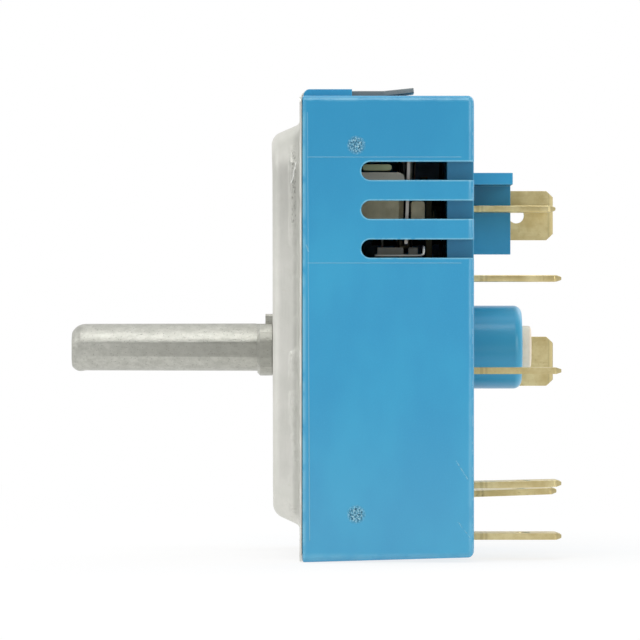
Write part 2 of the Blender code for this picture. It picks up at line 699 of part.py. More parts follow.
def nose(base, along, tip):
    """Path points of a V pressed into a leaf: its rounded tip's outer skin reaches tip.

    base is the leaf's middle line where the V starts, and along is the unit direction of the leaf.
    """
    base, along, tip = (np.asarray(value, float) for value in (base, along, tip))
    reach = tip - base
    reach = reach - along * (reach @ along)
    depth = float(np.linalg.norm(reach))
    toward = reach / depth
    corner = depth
    for _ in range(6):
        half = math.atan2(NOSE_HALF, corner)
        corner = depth - LEAF / 2 + BEND * (1 / math.sin(half) - 1)
    middle = base + along * ((tip - base) @ along)
    return [middle - along * NOSE_HALF, middle + toward * corner, middle + along * NOSE_HALF]


def moving_contact(name, carrier, axis, centre, face, way):
    """A contact on a leaf: a domed button whose back sits on the leaf's face."""
    start = face + way * SEAT / 2
    end = face + way * CONTACT_HEIGHT
    dome = [(CONTACT_RADIUS, start), (CONTACT_RADIUS, end - way * 0.25), (CONTACT_RADIUS * 0.72, end)]
    return solid(name, *turned(dome, axis, centre, 20), "silver", carrier)


def tab_at(axis, fixed, y):
    """A point of a terminal's path: across X it is (y, z), and across Z it is (x, y)."""
    return (y, fixed) if axis == "X" else (fixed, y)


def terminal(name, axis, middle, fixed, inner, rise=0.0):
    """A push-on terminal swept from its tip through the back wall and along its inner path."""
    narrow = TAB_WIDTH - 2 * TAB_CORNER * 0.94
    share = (TAB_CORNER - TAB_BEVEL) / TAB_CORNER
    wide = TAB_WIDTH + 2 * TAB_SHOULDER
    inside = CAVITY_FLOOR - SEAT
    outer = (
        (TAB_TIP, narrow, TAB_TIP_THICKNESS),
        (TAB_TIP - TAB_BEVEL, TAB_WIDTH + (narrow - TAB_WIDTH) * share, TAB_THICKNESS),
        (TAB_TIP - TAB_CORNER, TAB_WIDTH, TAB_THICKNESS),
        (CASE_DEPTH + 0.2, TAB_WIDTH, TAB_THICKNESS),
        (inside + 0.02, TAB_WIDTH, TAB_THICKNESS),
    )
    stations = []
    for y, width, thick in outer:
        lifted = fixed + rise * max(y - CASE_DEPTH, 0) / TAB_REACH
        stations.append((*tab_at(axis, lifted, y), width, thick))
    path = rounded_path([tab_at(axis, fixed, inside), *inner], TAB_THICKNESS, 3)
    stations += [(a, b, wide, TAB_THICKNESS) for a, b in path]
    made = solid(name, *swept_strip(stations, axis, middle), "brass")
    across = "Z" if axis == "X" else "X"
    hole = (middle, TAB_TIP - TAB_HOLE_FROM_TIP) if axis == "X" else (TAB_TIP - TAB_HOLE_FROM_TIP, middle)
    cut(made, peg(across, hole, fixed - 3, fixed + 3, TAB_HOLE / 2))
    return made


def span(middle, width):
    return middle - width / 2, middle + width / 2


def make_terminals():
    """Eight brass terminals, with the flanges that carry leaves and fixed contacts."""
    half = TAB_THICKNESS / 2
    mains_out = terminal("mains_out_terminal", "X", RIGHT_TABS, MAINS_OUT_HEIGHT,
                         [(MAINS_BAND - 1.9, MAINS_OUT_HEIGHT)])
    join(mains_out, box(span(MAINS_FLANGE, TAB_THICKNESS), span(MAINS_BAND, 3.0),
                        (MAINS_CONTACT - CONTACT_RADIUS - 0.5, MAINS_OUT_HEIGHT)))
    ear = (STRIP_EAR - half, STRIP_EAR + half)
    join(mains_out, box(span(STACK_CENTRE - 0.6, 3.8), ear, (MAINS_OUT_HEIGHT, STACK_RIVET + 2.2)))
    cut(mains_out, peg("Y", (STACK_CENTRE, STACK_RIVET), ear[0] - 1, ear[1] + 1, STACK_RIVET_RADIUS + SEAT))
    mains_in = terminal("mains_in_terminal", "X", RIGHT_TABS, MAINS_IN_HEIGHT,
                        [(MAINS_BAND - 1.9, MAINS_IN_HEIGHT)])
    hole = (MAINS_PIVOT[0], MAINS_BAND)
    cut(mains_in, peg("Z", hole, MAINS_IN_HEIGHT - 1, MAINS_IN_HEIGHT + 1, RIVET_RADIUS + SEAT))
    ring_in = terminal("ring_in_terminal", "X", RIGHT_TABS, RING_IN_HEIGHT,
                       [(RING_BAND - 2.2, RING_IN_HEIGHT)], 0.25)
    join(ring_in, box(span(RING_FLANGE, TAB_THICKNESS), span(RING_BAND, 3.2), (RING_IN_HEIGHT, RING_PIVOT[1] + 2)))
    cut(ring_in, peg("X", (RING_BAND, RING_PIVOT[1]), RING_FLANGE - 1, RING_FLANGE + 1, RIVET_RADIUS + SEAT))
    pilot = terminal("pilot_terminal", "X", RIGHT_TABS, PILOT_HEIGHT, [(PILOT_BAND - 1.9, PILOT_HEIGHT)])
    flange = PILOT_LEAF - LEAF / 2 - FOOT_GAP - half
    strap = (flange - half + 0.02, RIGHT_TABS - TAB_WIDTH / 2)
    join(pilot, box(strap, span(PILOT_BAND, 3.2), (PILOT_HEIGHT - half + 0.03, PILOT_STRAP_TOP - 0.03)))
    join(pilot, box((flange - half, flange + half), span(PILOT_BAND, 3.0), (PILOT_HEIGHT, PILOT_FOOT[1])))
    cut(pilot, peg("X", (PILOT_BAND, PILOT_PIVOT[1]), flange - 1, flange + 1, RIVET_RADIUS + SEAT))
    riser = CAVITY_FLOOR - 2.4
    terminal("ring_out_terminal", "X", RING_OUT[0], RING_OUT[1],
             [(riser, RING_OUT[1]), (riser, RING_SHELF), (RING_BAND - 2.4, RING_SHELF)], 0.38)
    terminal("heater_return_terminal", "X", TOP_TAB[0], TOP_TAB[1],
             [(riser, TOP_TAB[1]), (riser, TOP_TAB[1] + 4)])
    near, far = HEAT_TAB[0], SNAP_MIDDLE - 3.1
    heat = terminal("heat_terminal", "Z", HEAT_TAB[1], near,
                    [(near, INNER_PLANE), (far, INNER_PLANE), (far, SNAP_PLATE), (SNAP_MIDDLE + 1.4, SNAP_PLATE)])
    cut(heat, peg("Y", (SNAP_MIDDLE, SNAP_PIVOT), SNAP_PLATE - 1, SNAP_PLATE + 1, RIVET_RADIUS + SEAT))
    near, far = LOAD_TAB[0], SNAP_MIDDLE - 2.7
    load_plane = LOAD_FACE + half
    load = terminal("load_terminal", "Z", LOAD_TAB[1], near,
                    [(near, INNER_PLANE), (far, INNER_PLANE), (far, load_plane), (SNAP_MIDDLE + 1.6, load_plane)])
    join(load, box(span(PILOT_LEG, TAB_THICKNESS), (PILOT_BAND - 1.5, INNER_PLANE), span(LOAD_TAB[1], 5.9)))


def make_fixed_contacts():
    """A button on each terminal that a leaf closes on."""
    for name, axis, centre, face, way in (
        ("mains_fixed_contact", "X", (MAINS_BAND, MAINS_CONTACT), MAINS_FACE, 1),
        ("pilot_fixed_contact", "X", (PILOT_BAND, LOAD_TAB[1]), PILOT_LEG - TAB_THICKNESS / 2, -1),
        ("ring_fixed_contact", "Z", (RING_CONTACT, RING_BAND), RING_SHELF + TAB_THICKNESS / 2, 1),
        ("load_fixed_contact", "Y", (SNAP_MIDDLE, SNAP_FOOT), LOAD_FACE, -1),
    ):
        moving_contact(name, None, axis, centre, face, way)


def leaf(name, carrier, path, band):
    return solid(name, *strip(rounded_path(path, BEND, 3), "Y", band, LEAF_WIDTH, LEAF), "spring_steel", carrier)


def make_mains_leaf():
    carrier = pivot("mains_leaf_pivot", (MAINS_PIVOT[0], MAINS_BAND, MAINS_PIVOT[1]))
    top = MAINS_CONTACT + CONTACT_RADIUS
    path = [(MAINS_PIVOT[0] + 1.3, MAINS_FOOT), (MAINS_LEAF, MAINS_FOOT),
            *nose((MAINS_LEAF, 0), (0, 1), MAINS_NOSE), (MAINS_LEAF, top)]
    made = leaf("mains_leaf", carrier, path, MAINS_BAND)
    cut(made, peg("Z", (MAINS_PIVOT[0], MAINS_BAND), MAINS_FOOT - 1, MAINS_FOOT + 1, RIVET_RADIUS + 2 * SEAT))
    moving_contact("mains_moving_contact", carrier, "X", (MAINS_BAND, MAINS_CONTACT), MAINS_LEAF - LEAF / 2, -1)
    low, high = MAINS_IN_HEIGHT - TAB_THICKNESS / 2 - SEAT, MAINS_FOOT + LEAF / 2 + HEAD_GAP
    solid("mains_rivet", *turned(rivet_profile(low, high), "Z", (MAINS_PIVOT[0], MAINS_BAND), 20), "brass")


def make_pilot_leaf():
    carrier = pivot("pilot_leaf_pivot", (PILOT_PIVOT[0], PILOT_BAND, PILOT_PIVOT[1]))
    noses = nose((PILOT_LEAF, 0), (0, 1), PILOT_NOSE)
    path = [(PILOT_LEAF, PILOT_FOOT[0]), *noses, (PILOT_LEAF, noses[-1][1] + 1.6)]
    made = leaf("pilot_leaf", carrier, path, PILOT_BAND)
    flange = PILOT_LEAF - LEAF / 2 - FOOT_GAP - TAB_THICKNESS
    centre = (PILOT_BAND, PILOT_PIVOT[1])
    cut(made, peg("X", centre, PILOT_LEAF - 1, PILOT_LEAF + 1, RIVET_RADIUS + 2 * SEAT))
    moving_contact("pilot_moving_contact", carrier, "X", (PILOT_BAND, LOAD_TAB[1]), PILOT_LEAF + LEAF / 2, 1)
    ends = (flange - SEAT, PILOT_LEAF + LEAF / 2 + HEAD_GAP)
    solid("pilot_rivet", *turned(rivet_profile(*ends), "X", centre, 20), "brass")


def make_ring_leaf():
    carrier = pivot("ring_leaf_pivot", (RING_PIVOT[0], RING_BAND, RING_PIVOT[1]))
    path = [(RING_FOOT_PLANE, RING_FOOT[0]), (RING_FOOT_PLANE, RING_LEAF),
            *nose((0, RING_LEAF), (-1, 0), (0, -(CAM_BASE + NOSE_GAP))), (RING_CONTACT - 1.6, RING_LEAF)]
    made = leaf("ring_leaf", carrier, path, RING_BAND)
    centre = (RING_BAND, RING_PIVOT[1])
    cut(made, peg("X", centre, RING_FOOT_PLANE - 1, RING_FOOT_PLANE + 1, RIVET_RADIUS + 2 * SEAT))
    moving_contact("ring_moving_contact", carrier, "Z", (RING_CONTACT, RING_BAND), RING_LEAF - LEAF / 2, -1)
    ends = (RING_FOOT_PLANE - LEAF / 2 - HEAD_GAP, RING_FLANGE + TAB_THICKNESS / 2 + SEAT)
    solid("ring_rivet", *turned(rivet_profile(*ends), "X", centre, 20), "brass")


def leaned(points):
    """The bimetal strip leans back a little towards its upper edge, as the vents show."""
    points = np.array(points, float)
    points[:, 1] += (points[:, 2] - (STRIP_LOW + STRIP_HIGH) / 2) * STRIP_LEAN
    return points


def looped(rings):
    """A ring-shaped skin: each ring joins the next and the last joins the first."""
    count, total = len(rings[0]), len(rings)
    faces = []
    for ring in range(total):
        low, high = ring * count, (ring + 1) % total * count
        faces += [(low + k, low + (k + 1) % count, high + (k + 1) % count, high + k) for k in range(count)]
    return np.concatenate(rings), faces


def sleeve_outline(grow):
    """The strip's section with room round it, as (y, z)."""
    half = STRIP / 2 + grow
    return rounded_outline(STRIP_PLANE - half, STRIP_PLANE + half, STRIP_LOW - grow, STRIP_HIGH + grow,
                           min(half, grow) * 0.8, 2)


def make_bimetal():
    """Strip, mica sleeve, heater winding and push pin, which bend together about the clamp."""
    carrier = pivot("bimetal_pivot", (STACK_CENTRE, STRIP_PLANE, STACK_RIVET))
    outline = [
        (STRIP_FAR, PIN_HEIGHT - 1.3), (STRIP_FAR + 3.8, PIN_HEIGHT - 1.3), (STRIP_FAR + 3.8, STRIP_LOW),
        (STRIP_NEAR, STRIP_LOW), (STRIP_NEAR, STRIP_HIGH), (STRIP_FAR, STRIP_HIGH),
    ]
    points, faces = extruded(outline, "Y", *span(STRIP_PLANE, STRIP))
    made = solid("bimetal_strip", leaned(points), faces, "spring_steel", carrier)
    cut(made, peg("Y", (STACK_CENTRE, STACK_RIVET), STRIP_PLANE - 2, STRIP_PLANE + 2,
                  STACK_RIVET_RADIUS + 2 * SEAT))
    inner = sleeve_outline(SEAT)
    outer = sleeve_outline(SEAT + SLEEVE_WALL)
    ends = (-HEATER_HALF - 1, HEATER_HALF + 1)
    rings = [placed(outer, "X", ends[0]), placed(outer, "X", ends[1]),
             placed(inner, "X", ends[1]), placed(inner, "X", ends[0])]
    points, faces = looped(rings)
    solid("heater_sleeve", leaned(points), faces, "grey_ceramic", carrier)
    inner = sleeve_outline(2 * SEAT + SLEEVE_WALL)
    rings = []
    steps = 4 * HEATER_TURNS
    for k in range(steps + 1):
        ridge = WIRE * (0.65 - 0.35 * math.cos(2 * math.pi * k / 4))
        x = -HEATER_HALF + 2 * HEATER_HALF * k / steps
        rings.append(placed(sleeve_outline(2 * SEAT + SLEEVE_WALL + ridge), "X", x))
    rings += [placed(inner, "X", HEATER_HALF), placed(inner, "X", -HEATER_HALF)]
    points, faces = looped(rings)
    solid("heater_winding", leaned(points), faces, "resistance_wire", carrier)
    front = STRIP_PLANE - STRIP / 2 + (PIN_HEIGHT - (STRIP_LOW + STRIP_HIGH) / 2) * STRIP_LEAN
    ends = (SNAP_PLANE + LEAF / 2 + 1.5 * SEAT, front - SEAT)
    profile = [(PIN_RADIUS * 0.6, ends[0]), (PIN_RADIUS, ends[0] + 0.4), (PIN_RADIUS, ends[1])]
    solid("push_pin", *turned(profile, "Y", (SNAP_MIDDLE, PIN_HEIGHT), 20), "cream_moulding", carrier)


def make_stack():
    """The blocks that clamp the strip's near end, the bracket under them and the rivet through all."""
    near, far = STACK_CENTRE + STACK_WIDTH / 2, STACK_CENTRE - STACK_WIDTH / 2
    lean = (CARRIER_HIGH - (STRIP_LOW + STRIP_HIGH) / 2) * STRIP_LEAN
    back = STRIP_PLANE - STRIP / 2 - BLOCK_GAP
    outline = [(CARRIER_FRONT, CARRIER_LOW), (back - 0.2, CARRIER_LOW),
               *map(tuple, arc((back + lean - 0.9, CARRIER_HIGH - 0.8), 0.8, 0, 90, 4)),
               (CARRIER_FRONT, CARRIER_HIGH)]
    hole = (STACK_CENTRE, STACK_RIVET)
    block = solid("heater_carrier", *extruded(outline, "X", far, near), "grey_ceramic")
    cut(block, box((near - 1.2, near + 1), (back - 0.7, back + 2), (CARRIER_LOW - 1, CARRIER_HIGH - 2.2)))
    cut(block, peg("Y", hole, CARRIER_FRONT - 1, back + 2, STACK_RIVET_RADIUS + SEAT))
    rear = (STRIP_PLANE + STRIP / 2 + BLOCK_GAP, STRIP_EAR - TAB_THICKNESS / 2 - SEAT)
    outline = rounded_outline(*rear, CARRIER_LOW - 0.2, STACK_RIVET + 2.1, 0.4, 2)
    clamp = solid("clamp_block", *extruded(outline, "X", far + 0.6, near - 0.4), "grey_ceramic")
    cut(clamp, peg("Y", hole, rear[0] - 1, rear[1] + 1, STACK_RIVET_RADIUS + SEAT))
    profile = rivet_profile(CARRIER_FRONT - SEAT, STRIP_EAR + TAB_THICKNESS / 2 + SEAT, STACK_RIVET_RADIUS, 1.4, 0.5)
    solid("clamp_rivet", *turned(profile, "Y", hole, 20), "brass")
    lip = rear[1] - 0.15
    shelf = STRIP_LOW - 1.4
    path = rounded_path([(lip - 6.0, shelf), (lip, shelf), (lip, STRIP_LOW - 0.3)], 0.3, 3)
    solid("stack_bracket", *strip(path, "X", STACK_CENTRE, STACK_WIDTH - 0.6, LEAF), "zinc_steel")
    clip = rounded_outline(CARRIER_FRONT + 1.8, CARRIER_FRONT + 5.4, CARRIER_HIGH + SEAT, CARRIER_HIGH + 0.8, 0.3, 3)
    solid("heater_clip", *extruded(clip, "X", far + 1, near - 0.8), "brass")


def make_snap_leaf():
    """The leaf that the strip pushes open, with its contacts and rivet."""
    carrier = pivot("snap_leaf_pivot", (SNAP_MIDDLE, SNAP_PLANE, SNAP_PIVOT))
    stations = [(SNAP_PLANE, SNAP_PIVOT + 2.2, 4.4, LEAF), (SNAP_PLANE, SNAP_PIVOT - 3, 4.4, LEAF),
                (SNAP_PLANE, SNAP_FOOT + 4, 3.0, LEAF), (SNAP_PLANE, SNAP_FOOT - 1.6, 3.0, LEAF)]
    made = solid("snap_leaf", *swept_strip(stations, "X", SNAP_MIDDLE), "spring_steel", carrier)
    centre = (SNAP_MIDDLE, SNAP_PIVOT)
    cut(made, peg("Y", centre, SNAP_PLANE - 1, SNAP_PLANE + 1, RIVET_RADIUS + 2 * SEAT))
    moving_contact("snap_moving_contact", carrier, "Y", (SNAP_MIDDLE, SNAP_FOOT), SNAP_PLANE + LEAF / 2, 1)
    ends = (SNAP_PLATE - TAB_THICKNESS / 2 - SEAT, SNAP_PLANE + LEAF / 2 + HEAD_GAP)
    solid("snap_rivet", *turned(rivet_profile(*ends), "Y", centre, 20), "brass")


def make_lever():
    """The lever that the face cam tilts, with its pin and the calibrating screw."""
    carrier = pivot("lever_axis", (LEVER_MIDDLE, *LEVER_AXIS))
    plane, high = LEVER_AXIS
    half = LEVER_THICKNESS / 2
    web, arm = 2.2, (SCREW_HEIGHT - 1.9, SCREW_HEIGHT + 1.9)
    foot = FACE_CAM_RADIUS - 2.1
    outline = [(web, foot), (web, high), (-web - 1.5, high), (-web, high - 5), (-web, arm[1]),
               (SNAP_MIDDLE - 1.9, arm[1]), (SNAP_MIDDLE - 1.9, arm[0]), (-web, arm[0]), (-web, foot)]
    made = solid("setting_lever", *extruded(outline, "Y", plane - half, plane + half), "zinc_steel", carrier)
    join(made, peg("X", LEVER_AXIS, *span(LEVER_MIDDLE, LEVER_KNUCKLE), LEVER_PIN_RADIUS + 0.9, 20))
    cut(made, peg("X", LEVER_AXIS, *span(LEVER_MIDDLE, LEVER_KNUCKLE + 2), LEVER_PIN_RADIUS + RUNNING, 20))
    reach = FACE_CAM_LOW + NOSE_GAP
    tip = [(-0.9, plane), (-0.9, reach + 0.5), (-0.4, reach), (0.4, reach), (0.9, reach + 0.5), (0.9, plane)]
    join(made, extruded(tip, "Z", foot + 0.1, foot + 1.9))
    join(made, peg("Y", (SNAP_MIDDLE, SCREW_HEIGHT), plane, plane + half + 1.0, SCREW_RADIUS + 0.8))
    cut(made, peg("Y", (SNAP_MIDDLE, SCREW_HEIGHT), plane - 2, plane + 4, SCREW_RADIUS + SEAT / 2))
    lugs = [edge for lug in lever_lugs() for edge in lug]
    solid("lever_pin", *peg("X", LEVER_AXIS, min(lugs) - 0.3, max(lugs) + 0.3, LEVER_PIN_RADIUS), "zinc_steel")
    head = plane - half - SEAT
    profile = [(SCREW_RADIUS + 0.7, head - 1.0), (SCREW_RADIUS + 0.7, head), (SCREW_RADIUS, head),
               (SCREW_RADIUS, SCREW_TIP - 0.4), (SCREW_RADIUS * 0.6, SCREW_TIP)]
    screw = solid("calibrating_screw", *turned(profile, "Y", (SNAP_MIDDLE, SCREW_HEIGHT), 20), "brass", carrier)
    cut(screw, box(span(SNAP_MIDDLE, 4), (head - 2, head - 0.6), span(SCREW_HEIGHT, 0.5)))


def make_wave_washer():
    """A ring with three waves between the plate and the drum."""
    turn = np.arange(48) * 2 * math.pi / 48
    middle = (FACE + SHEET + FACE_CAM_FRONT) / 2
    wave = middle + (FACE_CAM_FRONT - FACE - SHEET) * 0.24 * np.cos(3 * turn)
    rings = []
    for radius, side in ((WASHER[0], -1), (WASHER[1], -1), (WASHER[1], 1), (WASHER[0], 1)):
        rings.append(np.stack([radius * np.cos(turn), wave + side * 0.12, radius * np.sin(turn)], axis=1))
    solid("wave_washer", *looped(rings), "spring_steel")


def make_detent():
    """The leaf that clicks into the face cam's rim, drawn lifted clear of it, and its rivet."""
    height = DETENT_SEAT + SEAT + LEAF / 2
    tip = (0.0, -(FACE_CAM_RADIUS + NOSE_GAP))
    path = [(DETENT_ROOT - 1.8, height), *nose((0, height), (1, 0), tip), (4.5, height + 0.8)]
    made = solid("detent_leaf", *strip(rounded_path(path, BEND, 3), "Y", DETENT_BAND, 1.8, LEAF), "spring_steel")
    cut(made, peg("Z", (DETENT_ROOT, DETENT_BAND), height - 1, height + 1, DETENT_RIVET + SEAT))
    profile = rivet_profile(DETENT_SEAT - SHEET - SEAT, height + LEAF / 2 + SEAT, DETENT_RIVET, 0.8, 0.3)
    solid("detent_rivet", *turned(profile, "Z", (DETENT_ROOT, DETENT_BAND), 16), "zinc_steel")


def clear_scene():
    for thing in list(bpy.data.objects):
        bpy.data.objects.remove(thing, do_unlink=True)


def build():
    clear_scene()
    frame = bpy.data.objects.new("switch_frame", None)
    bpy.context.scene.collection.objects.link(frame)
    frame.location = [part * MM for part in FRAME_SHIFT]
    make_case()
    make_front_plate()
    axis = pivot("shaft_axis", (0, 0, 0))
    make_shaft(axis)
    make_cam_drum(axis)
    make_terminals()
    make_fixed_contacts()
    make_mains_leaf()
    make_pilot_leaf()
    make_ring_leaf()
    make_bimetal()
    make_stack()
    make_snap_leaf()
    make_lever()
    make_wave_washer()
    make_detent()


build()
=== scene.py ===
"""Dresses the cooker energy regulator: fine surfaces, finishes, stage, light and camera.

Lengths are millimetres in the switch's own frame: the shaft's axis lies on Y, the case's rim is
at Y = 0, the shaft points to -Y, and the vented side faces +X. metres() moves them to the model's
frame.
"""

import json
import math

import bmesh
import bpy
import numpy as np
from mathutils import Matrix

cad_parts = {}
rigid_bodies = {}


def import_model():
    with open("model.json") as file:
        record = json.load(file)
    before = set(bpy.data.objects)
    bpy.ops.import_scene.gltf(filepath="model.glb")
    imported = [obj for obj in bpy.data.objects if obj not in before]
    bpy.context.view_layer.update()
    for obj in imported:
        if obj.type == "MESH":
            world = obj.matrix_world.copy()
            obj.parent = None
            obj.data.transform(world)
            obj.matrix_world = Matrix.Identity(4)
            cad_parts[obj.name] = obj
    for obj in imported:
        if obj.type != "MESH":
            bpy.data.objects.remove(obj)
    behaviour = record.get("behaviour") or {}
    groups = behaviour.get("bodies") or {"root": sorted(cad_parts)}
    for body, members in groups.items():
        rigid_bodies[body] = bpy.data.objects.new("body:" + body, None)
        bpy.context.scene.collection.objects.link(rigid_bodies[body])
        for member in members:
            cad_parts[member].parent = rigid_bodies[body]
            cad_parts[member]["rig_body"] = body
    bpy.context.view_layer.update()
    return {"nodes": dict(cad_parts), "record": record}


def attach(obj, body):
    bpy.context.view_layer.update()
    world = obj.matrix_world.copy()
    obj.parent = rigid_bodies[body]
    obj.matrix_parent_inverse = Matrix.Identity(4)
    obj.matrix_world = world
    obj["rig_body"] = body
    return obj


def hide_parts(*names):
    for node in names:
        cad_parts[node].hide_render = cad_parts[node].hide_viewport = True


MM = 0.001
SHIFT = np.array([0.0, -1.4, 26.2])  # the switch's own frame to the model's frame

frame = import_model()
SLOTS = {part["node"]: part["material_slot"] for part in frame["record"]["subparts"]}
LOOKS = {}

# The case. Pairs on its side are (y, z), and pairs on its back are (x, z).
HALF_WIDTH = 23.0
DEPTH = 21.0
TOP = 30.85
UNDER = -26.2
UNDER_RISE = 0.6  # from the rim to the back
WALL = 1.7
FLOOR = 17.75  # how deep the inside is
EDGE = 0.75
LIP = 0.85
LEDGE = 0.42  # how deep the plate's edge sits in the rim
SEAT = 0.1  # play round what stands in an opening
VENTS = (21.65, 16.9, 12.15)  # heights of the middle lines
VENT_HALF = 1.125
VENT_START = 7.2
BOSS = (5.25, 27.65, 1.05)  # radius, end and edge rounding
JOURNAL = 2.7
BORE_PLAY = 0.08
SHROUD = ((-7.5, 11.8), (-6.04, 11.8), (-6.04, 20.54), (2.0, 20.54), (2.0, 22.0), (-7.5, 22.0))
SHROUD_REACH = 5.5
LUG_ROOT = TOP - 0.8  # within the top wall, where the lugs start
LUG_SPACING = 3.95  # of the lugs beside the tongue, from its middle
LEVER_PIN = (3.8, 26.0)
LEVER_PIN_BORE = 0.85
LEVER_LUGS = ((-5.7, -4.3), (2.3, 3.7))  # from and to, along X

# The terminals' middles, and their blades
RIGHT_TABS = 13.15
FLAT_TABS = ((RIGHT_TABS, 8.57), (RIGHT_TABS, -2.84), (RIGHT_TABS, -17.0), (RIGHT_TABS, -23.3),
             (-2.65, 17.5), (-0.15, -18.5))
UPRIGHT_TABS = ((-8.2, 16.8), (-8.0, -1.85))
TAB_HALF_WIDTH = 3.15
TAB_HALF_THICKNESS = 0.4
TAB_BEVEL = 31.37  # the bevelled tips start here

# The front plate and its tongue
PLATE_FACE = -3.63
PLATE_BASE = -0.33
SHEET = 0.65
DISH_HALF = 24.5  # half the dish's height
DISH_HALF_WIDTH = 20.2
DISH_CORNER = 6.0
DISH_MIDDLE = 2.845
FACE_BOW = 0.3  # how far the face bows forward at its top
FACE_BOW_START = 0.55  # above the middle, as a share of half the dish's height
SCREW_HOLES = (-14.0, 14.0)
CREASE_LEAN = 0.236  # the crease in the near wall, along y = lean z - set
CREASE_SET = 5.9
CREASE_HEIGHT = 21.5
TONGUE_MIDDLE = 15.5
TONGUE_BEND = 10.0  # its end lifts and narrows from here

# The shaft and the stack's bracket
SHAFT_TIP = -29.2
SHAFT_RADIUS = 3.0
DRIVE_FLAT = 1.6  # from the axis, on -X
DRIVE_FLAT_END = -9.0  # from here it runs out over RUN_OUT
RUN_OUT = 1.0
INNER_FLAT = -1.85  # from here back the shaft is flat again, in the drum
SHAFT_END = 9.5
COLLAR = (3.6, -5.74, -3.78)  # radius, front and back
NUB = ((-0.9, 0.9), (-4.73, -3.83), (1.5, 4.2))  # on the collar: x, y and z
UNCUT = 9.0  # a cap this far out cuts nothing
LAND = 0.957  # the die's land lies at this share of the radius
LAND_TURN = 6.0  # degrees below +X
SHELF = 11.25
BRACKET_BACK = 15.1
BRACKET_NEAR = 18.1

# Solids whose own form is kept, and how wide their edges are eased
TERMINALS = ("mains_out", "mains_in", "ring_in", "pilot", "ring_out", "heater_return", "heat",
             "load")
EASED = {
    **{f"{name}_terminal": 0.1 for name in TERMINALS},
    "cam_drum": 0.15, "setting_lever": 0.12, "heater_carrier": 0.2, "clamp_block": 0.15,
    "calibrating_screw": 0.08,
}

# Marks on the vented side
SIDE = 22.85  # the outer face lies just beyond this
GATE_MARKS = ((6.6, 24.8), (6.6, -20.3))
GATE_RADIUS = 1.2
UPRIGHT_LINE = 0.775
LINE_LEAN = 0.0053
LEVEL_LINES = (23.33, 10.39)
SCRATCHES = (((18.8, -13.8), (20.2, -16.0)), ((19.0, -21.2), (20.5, -23.1)),
             ((0.5, 12.6), (0.75, 11.8)))

# The stage and the camera. Lamp places and sizes are metres in the model's frame.
FLOOR_GLOW = 0.8  # how white the floor looks near the switch, from 0 to 1
FLOOR_LIGHT = 0.5  # the same for the light that it gives off
WHITE = (1.0, 1.0, 1.0, 1.0)
DIM = 0.3  # the sweep's light from the camera's side, for anything but the camera
BRIGHT = 0.95
LAMP_TARGET = (0.0, 0.0, 0.028)
LAMPS = {  # name: (place, size of the card, power)
    "key": ((0.5, -0.15, 0.74), (0.7, 0.42), 3.3),
    "fill": ((0.62, 0.5, 0.2), (0.4, 0.4), 1.3),
    "front": ((0.15, -0.8, 0.4), (0.5, 0.4), 1.2),
    "top": ((-0.1, 0.1, 0.9), (0.6, 0.6), 0.7),
    "back": ((-0.6, 0.5, 0.5), (0.5, 0.5), 1.1),
}
PICTURE = 640  # pixels across
VIEW_DISTANCE = 650.0
VIEW_CENTRE = (2.17, 3.43)  # the picture's middle, as (y, z)
PIXELS_PER_MM = 7.9  # at the shaft's plane
SENSOR = 36.0

SHARP = math.radians(35.0)  # a steeper fold is an edge
SEAM = math.radians(0.5)  # a lesser fold is a seam in a flat face
SAME_PLACE = 1e-7  # metres
METAL = 1.0
MIX_COLOURS = (6, 7)  # a Mix node's sockets when it mixes colours
MIX_RESULT = 2


class Number:
    """A value in a shader, wrapped so that sums on it are written as Python."""

    def __init__(self, look, socket):
        self.look = look
        self.socket = socket

    def math_node(self, operation, *values):
        settings = {"operation": operation}
        return self.look.number("ShaderNodeMath", settings, dict(enumerate(values)))

    def __add__(self, other):
        return self.math_node("ADD", self, other)

    def __radd__(self, other):
        return self.math_node("ADD", other, self)

    def __sub__(self, other):
        return self.math_node("SUBTRACT", self, other)

    def __rsub__(self, other):
        return self.math_node("SUBTRACT", other, self)

    def __mul__(self, other):
        return self.math_node("MULTIPLY", self, other)

    def __rmul__(self, other):
        return self.math_node("MULTIPLY", other, self)

    def __abs__(self):
        return self.math_node("ABSOLUTE", self)

    def __pow__(self, other):
        return self.math_node("POWER", self, other)

    def at_most(self, other):
        return self.math_node("MINIMUM", self, other)

    def at_least(self, other):
        return self.math_node("MAXIMUM", self, other)

    def ramp(self, low, high):
        """0 below low, 1 above high, and smooth between them. low may be the larger."""
        inputs = {"Value": self, "From Min": low, "From Max": high}
        return self.look.number("ShaderNodeMapRange", {"interpolation_type": "SMOOTHSTEP"}, inputs)

    def near(self, centre, half, soft):
        """1 within half of the centre, falling to 0 over soft."""
        return abs(self - centre).ramp(half + soft, half)


class Nodes:
    """The shader nodes of a material or a world, all made by one method."""

    def __init__(self, owner):
        owner.use_nodes = True
        self.tree = owner.node_tree

    def node(self, kind, settings=None, inputs=None):
        """A node of that type: first its settings, then the values or links of its sockets."""
        made = self.tree.nodes.new(kind)
        for name, value in (settings or {}).items():
            setattr(made, name, value)
        for name, value in (inputs or {}).items():
            value = value.socket if isinstance(value, Number) else value
            if isinstance(value, bpy.types.NodeSocket):
                self.tree.links.new(value, made.inputs[name])
            else:
                made.inputs[name].default_value = value
        return made

    def number(self, kind, settings=None, inputs=None, output=0):
        return Number(self, self.node(kind, settings, inputs).outputs[output])

    def rays(self, *kinds):
        """For each kind of ray, 1 where a ray is of that kind."""
        path = self.node("ShaderNodeLightPath")
        return [Number(self, path.outputs[f"Is {kind} Ray"]) for kind in kinds]


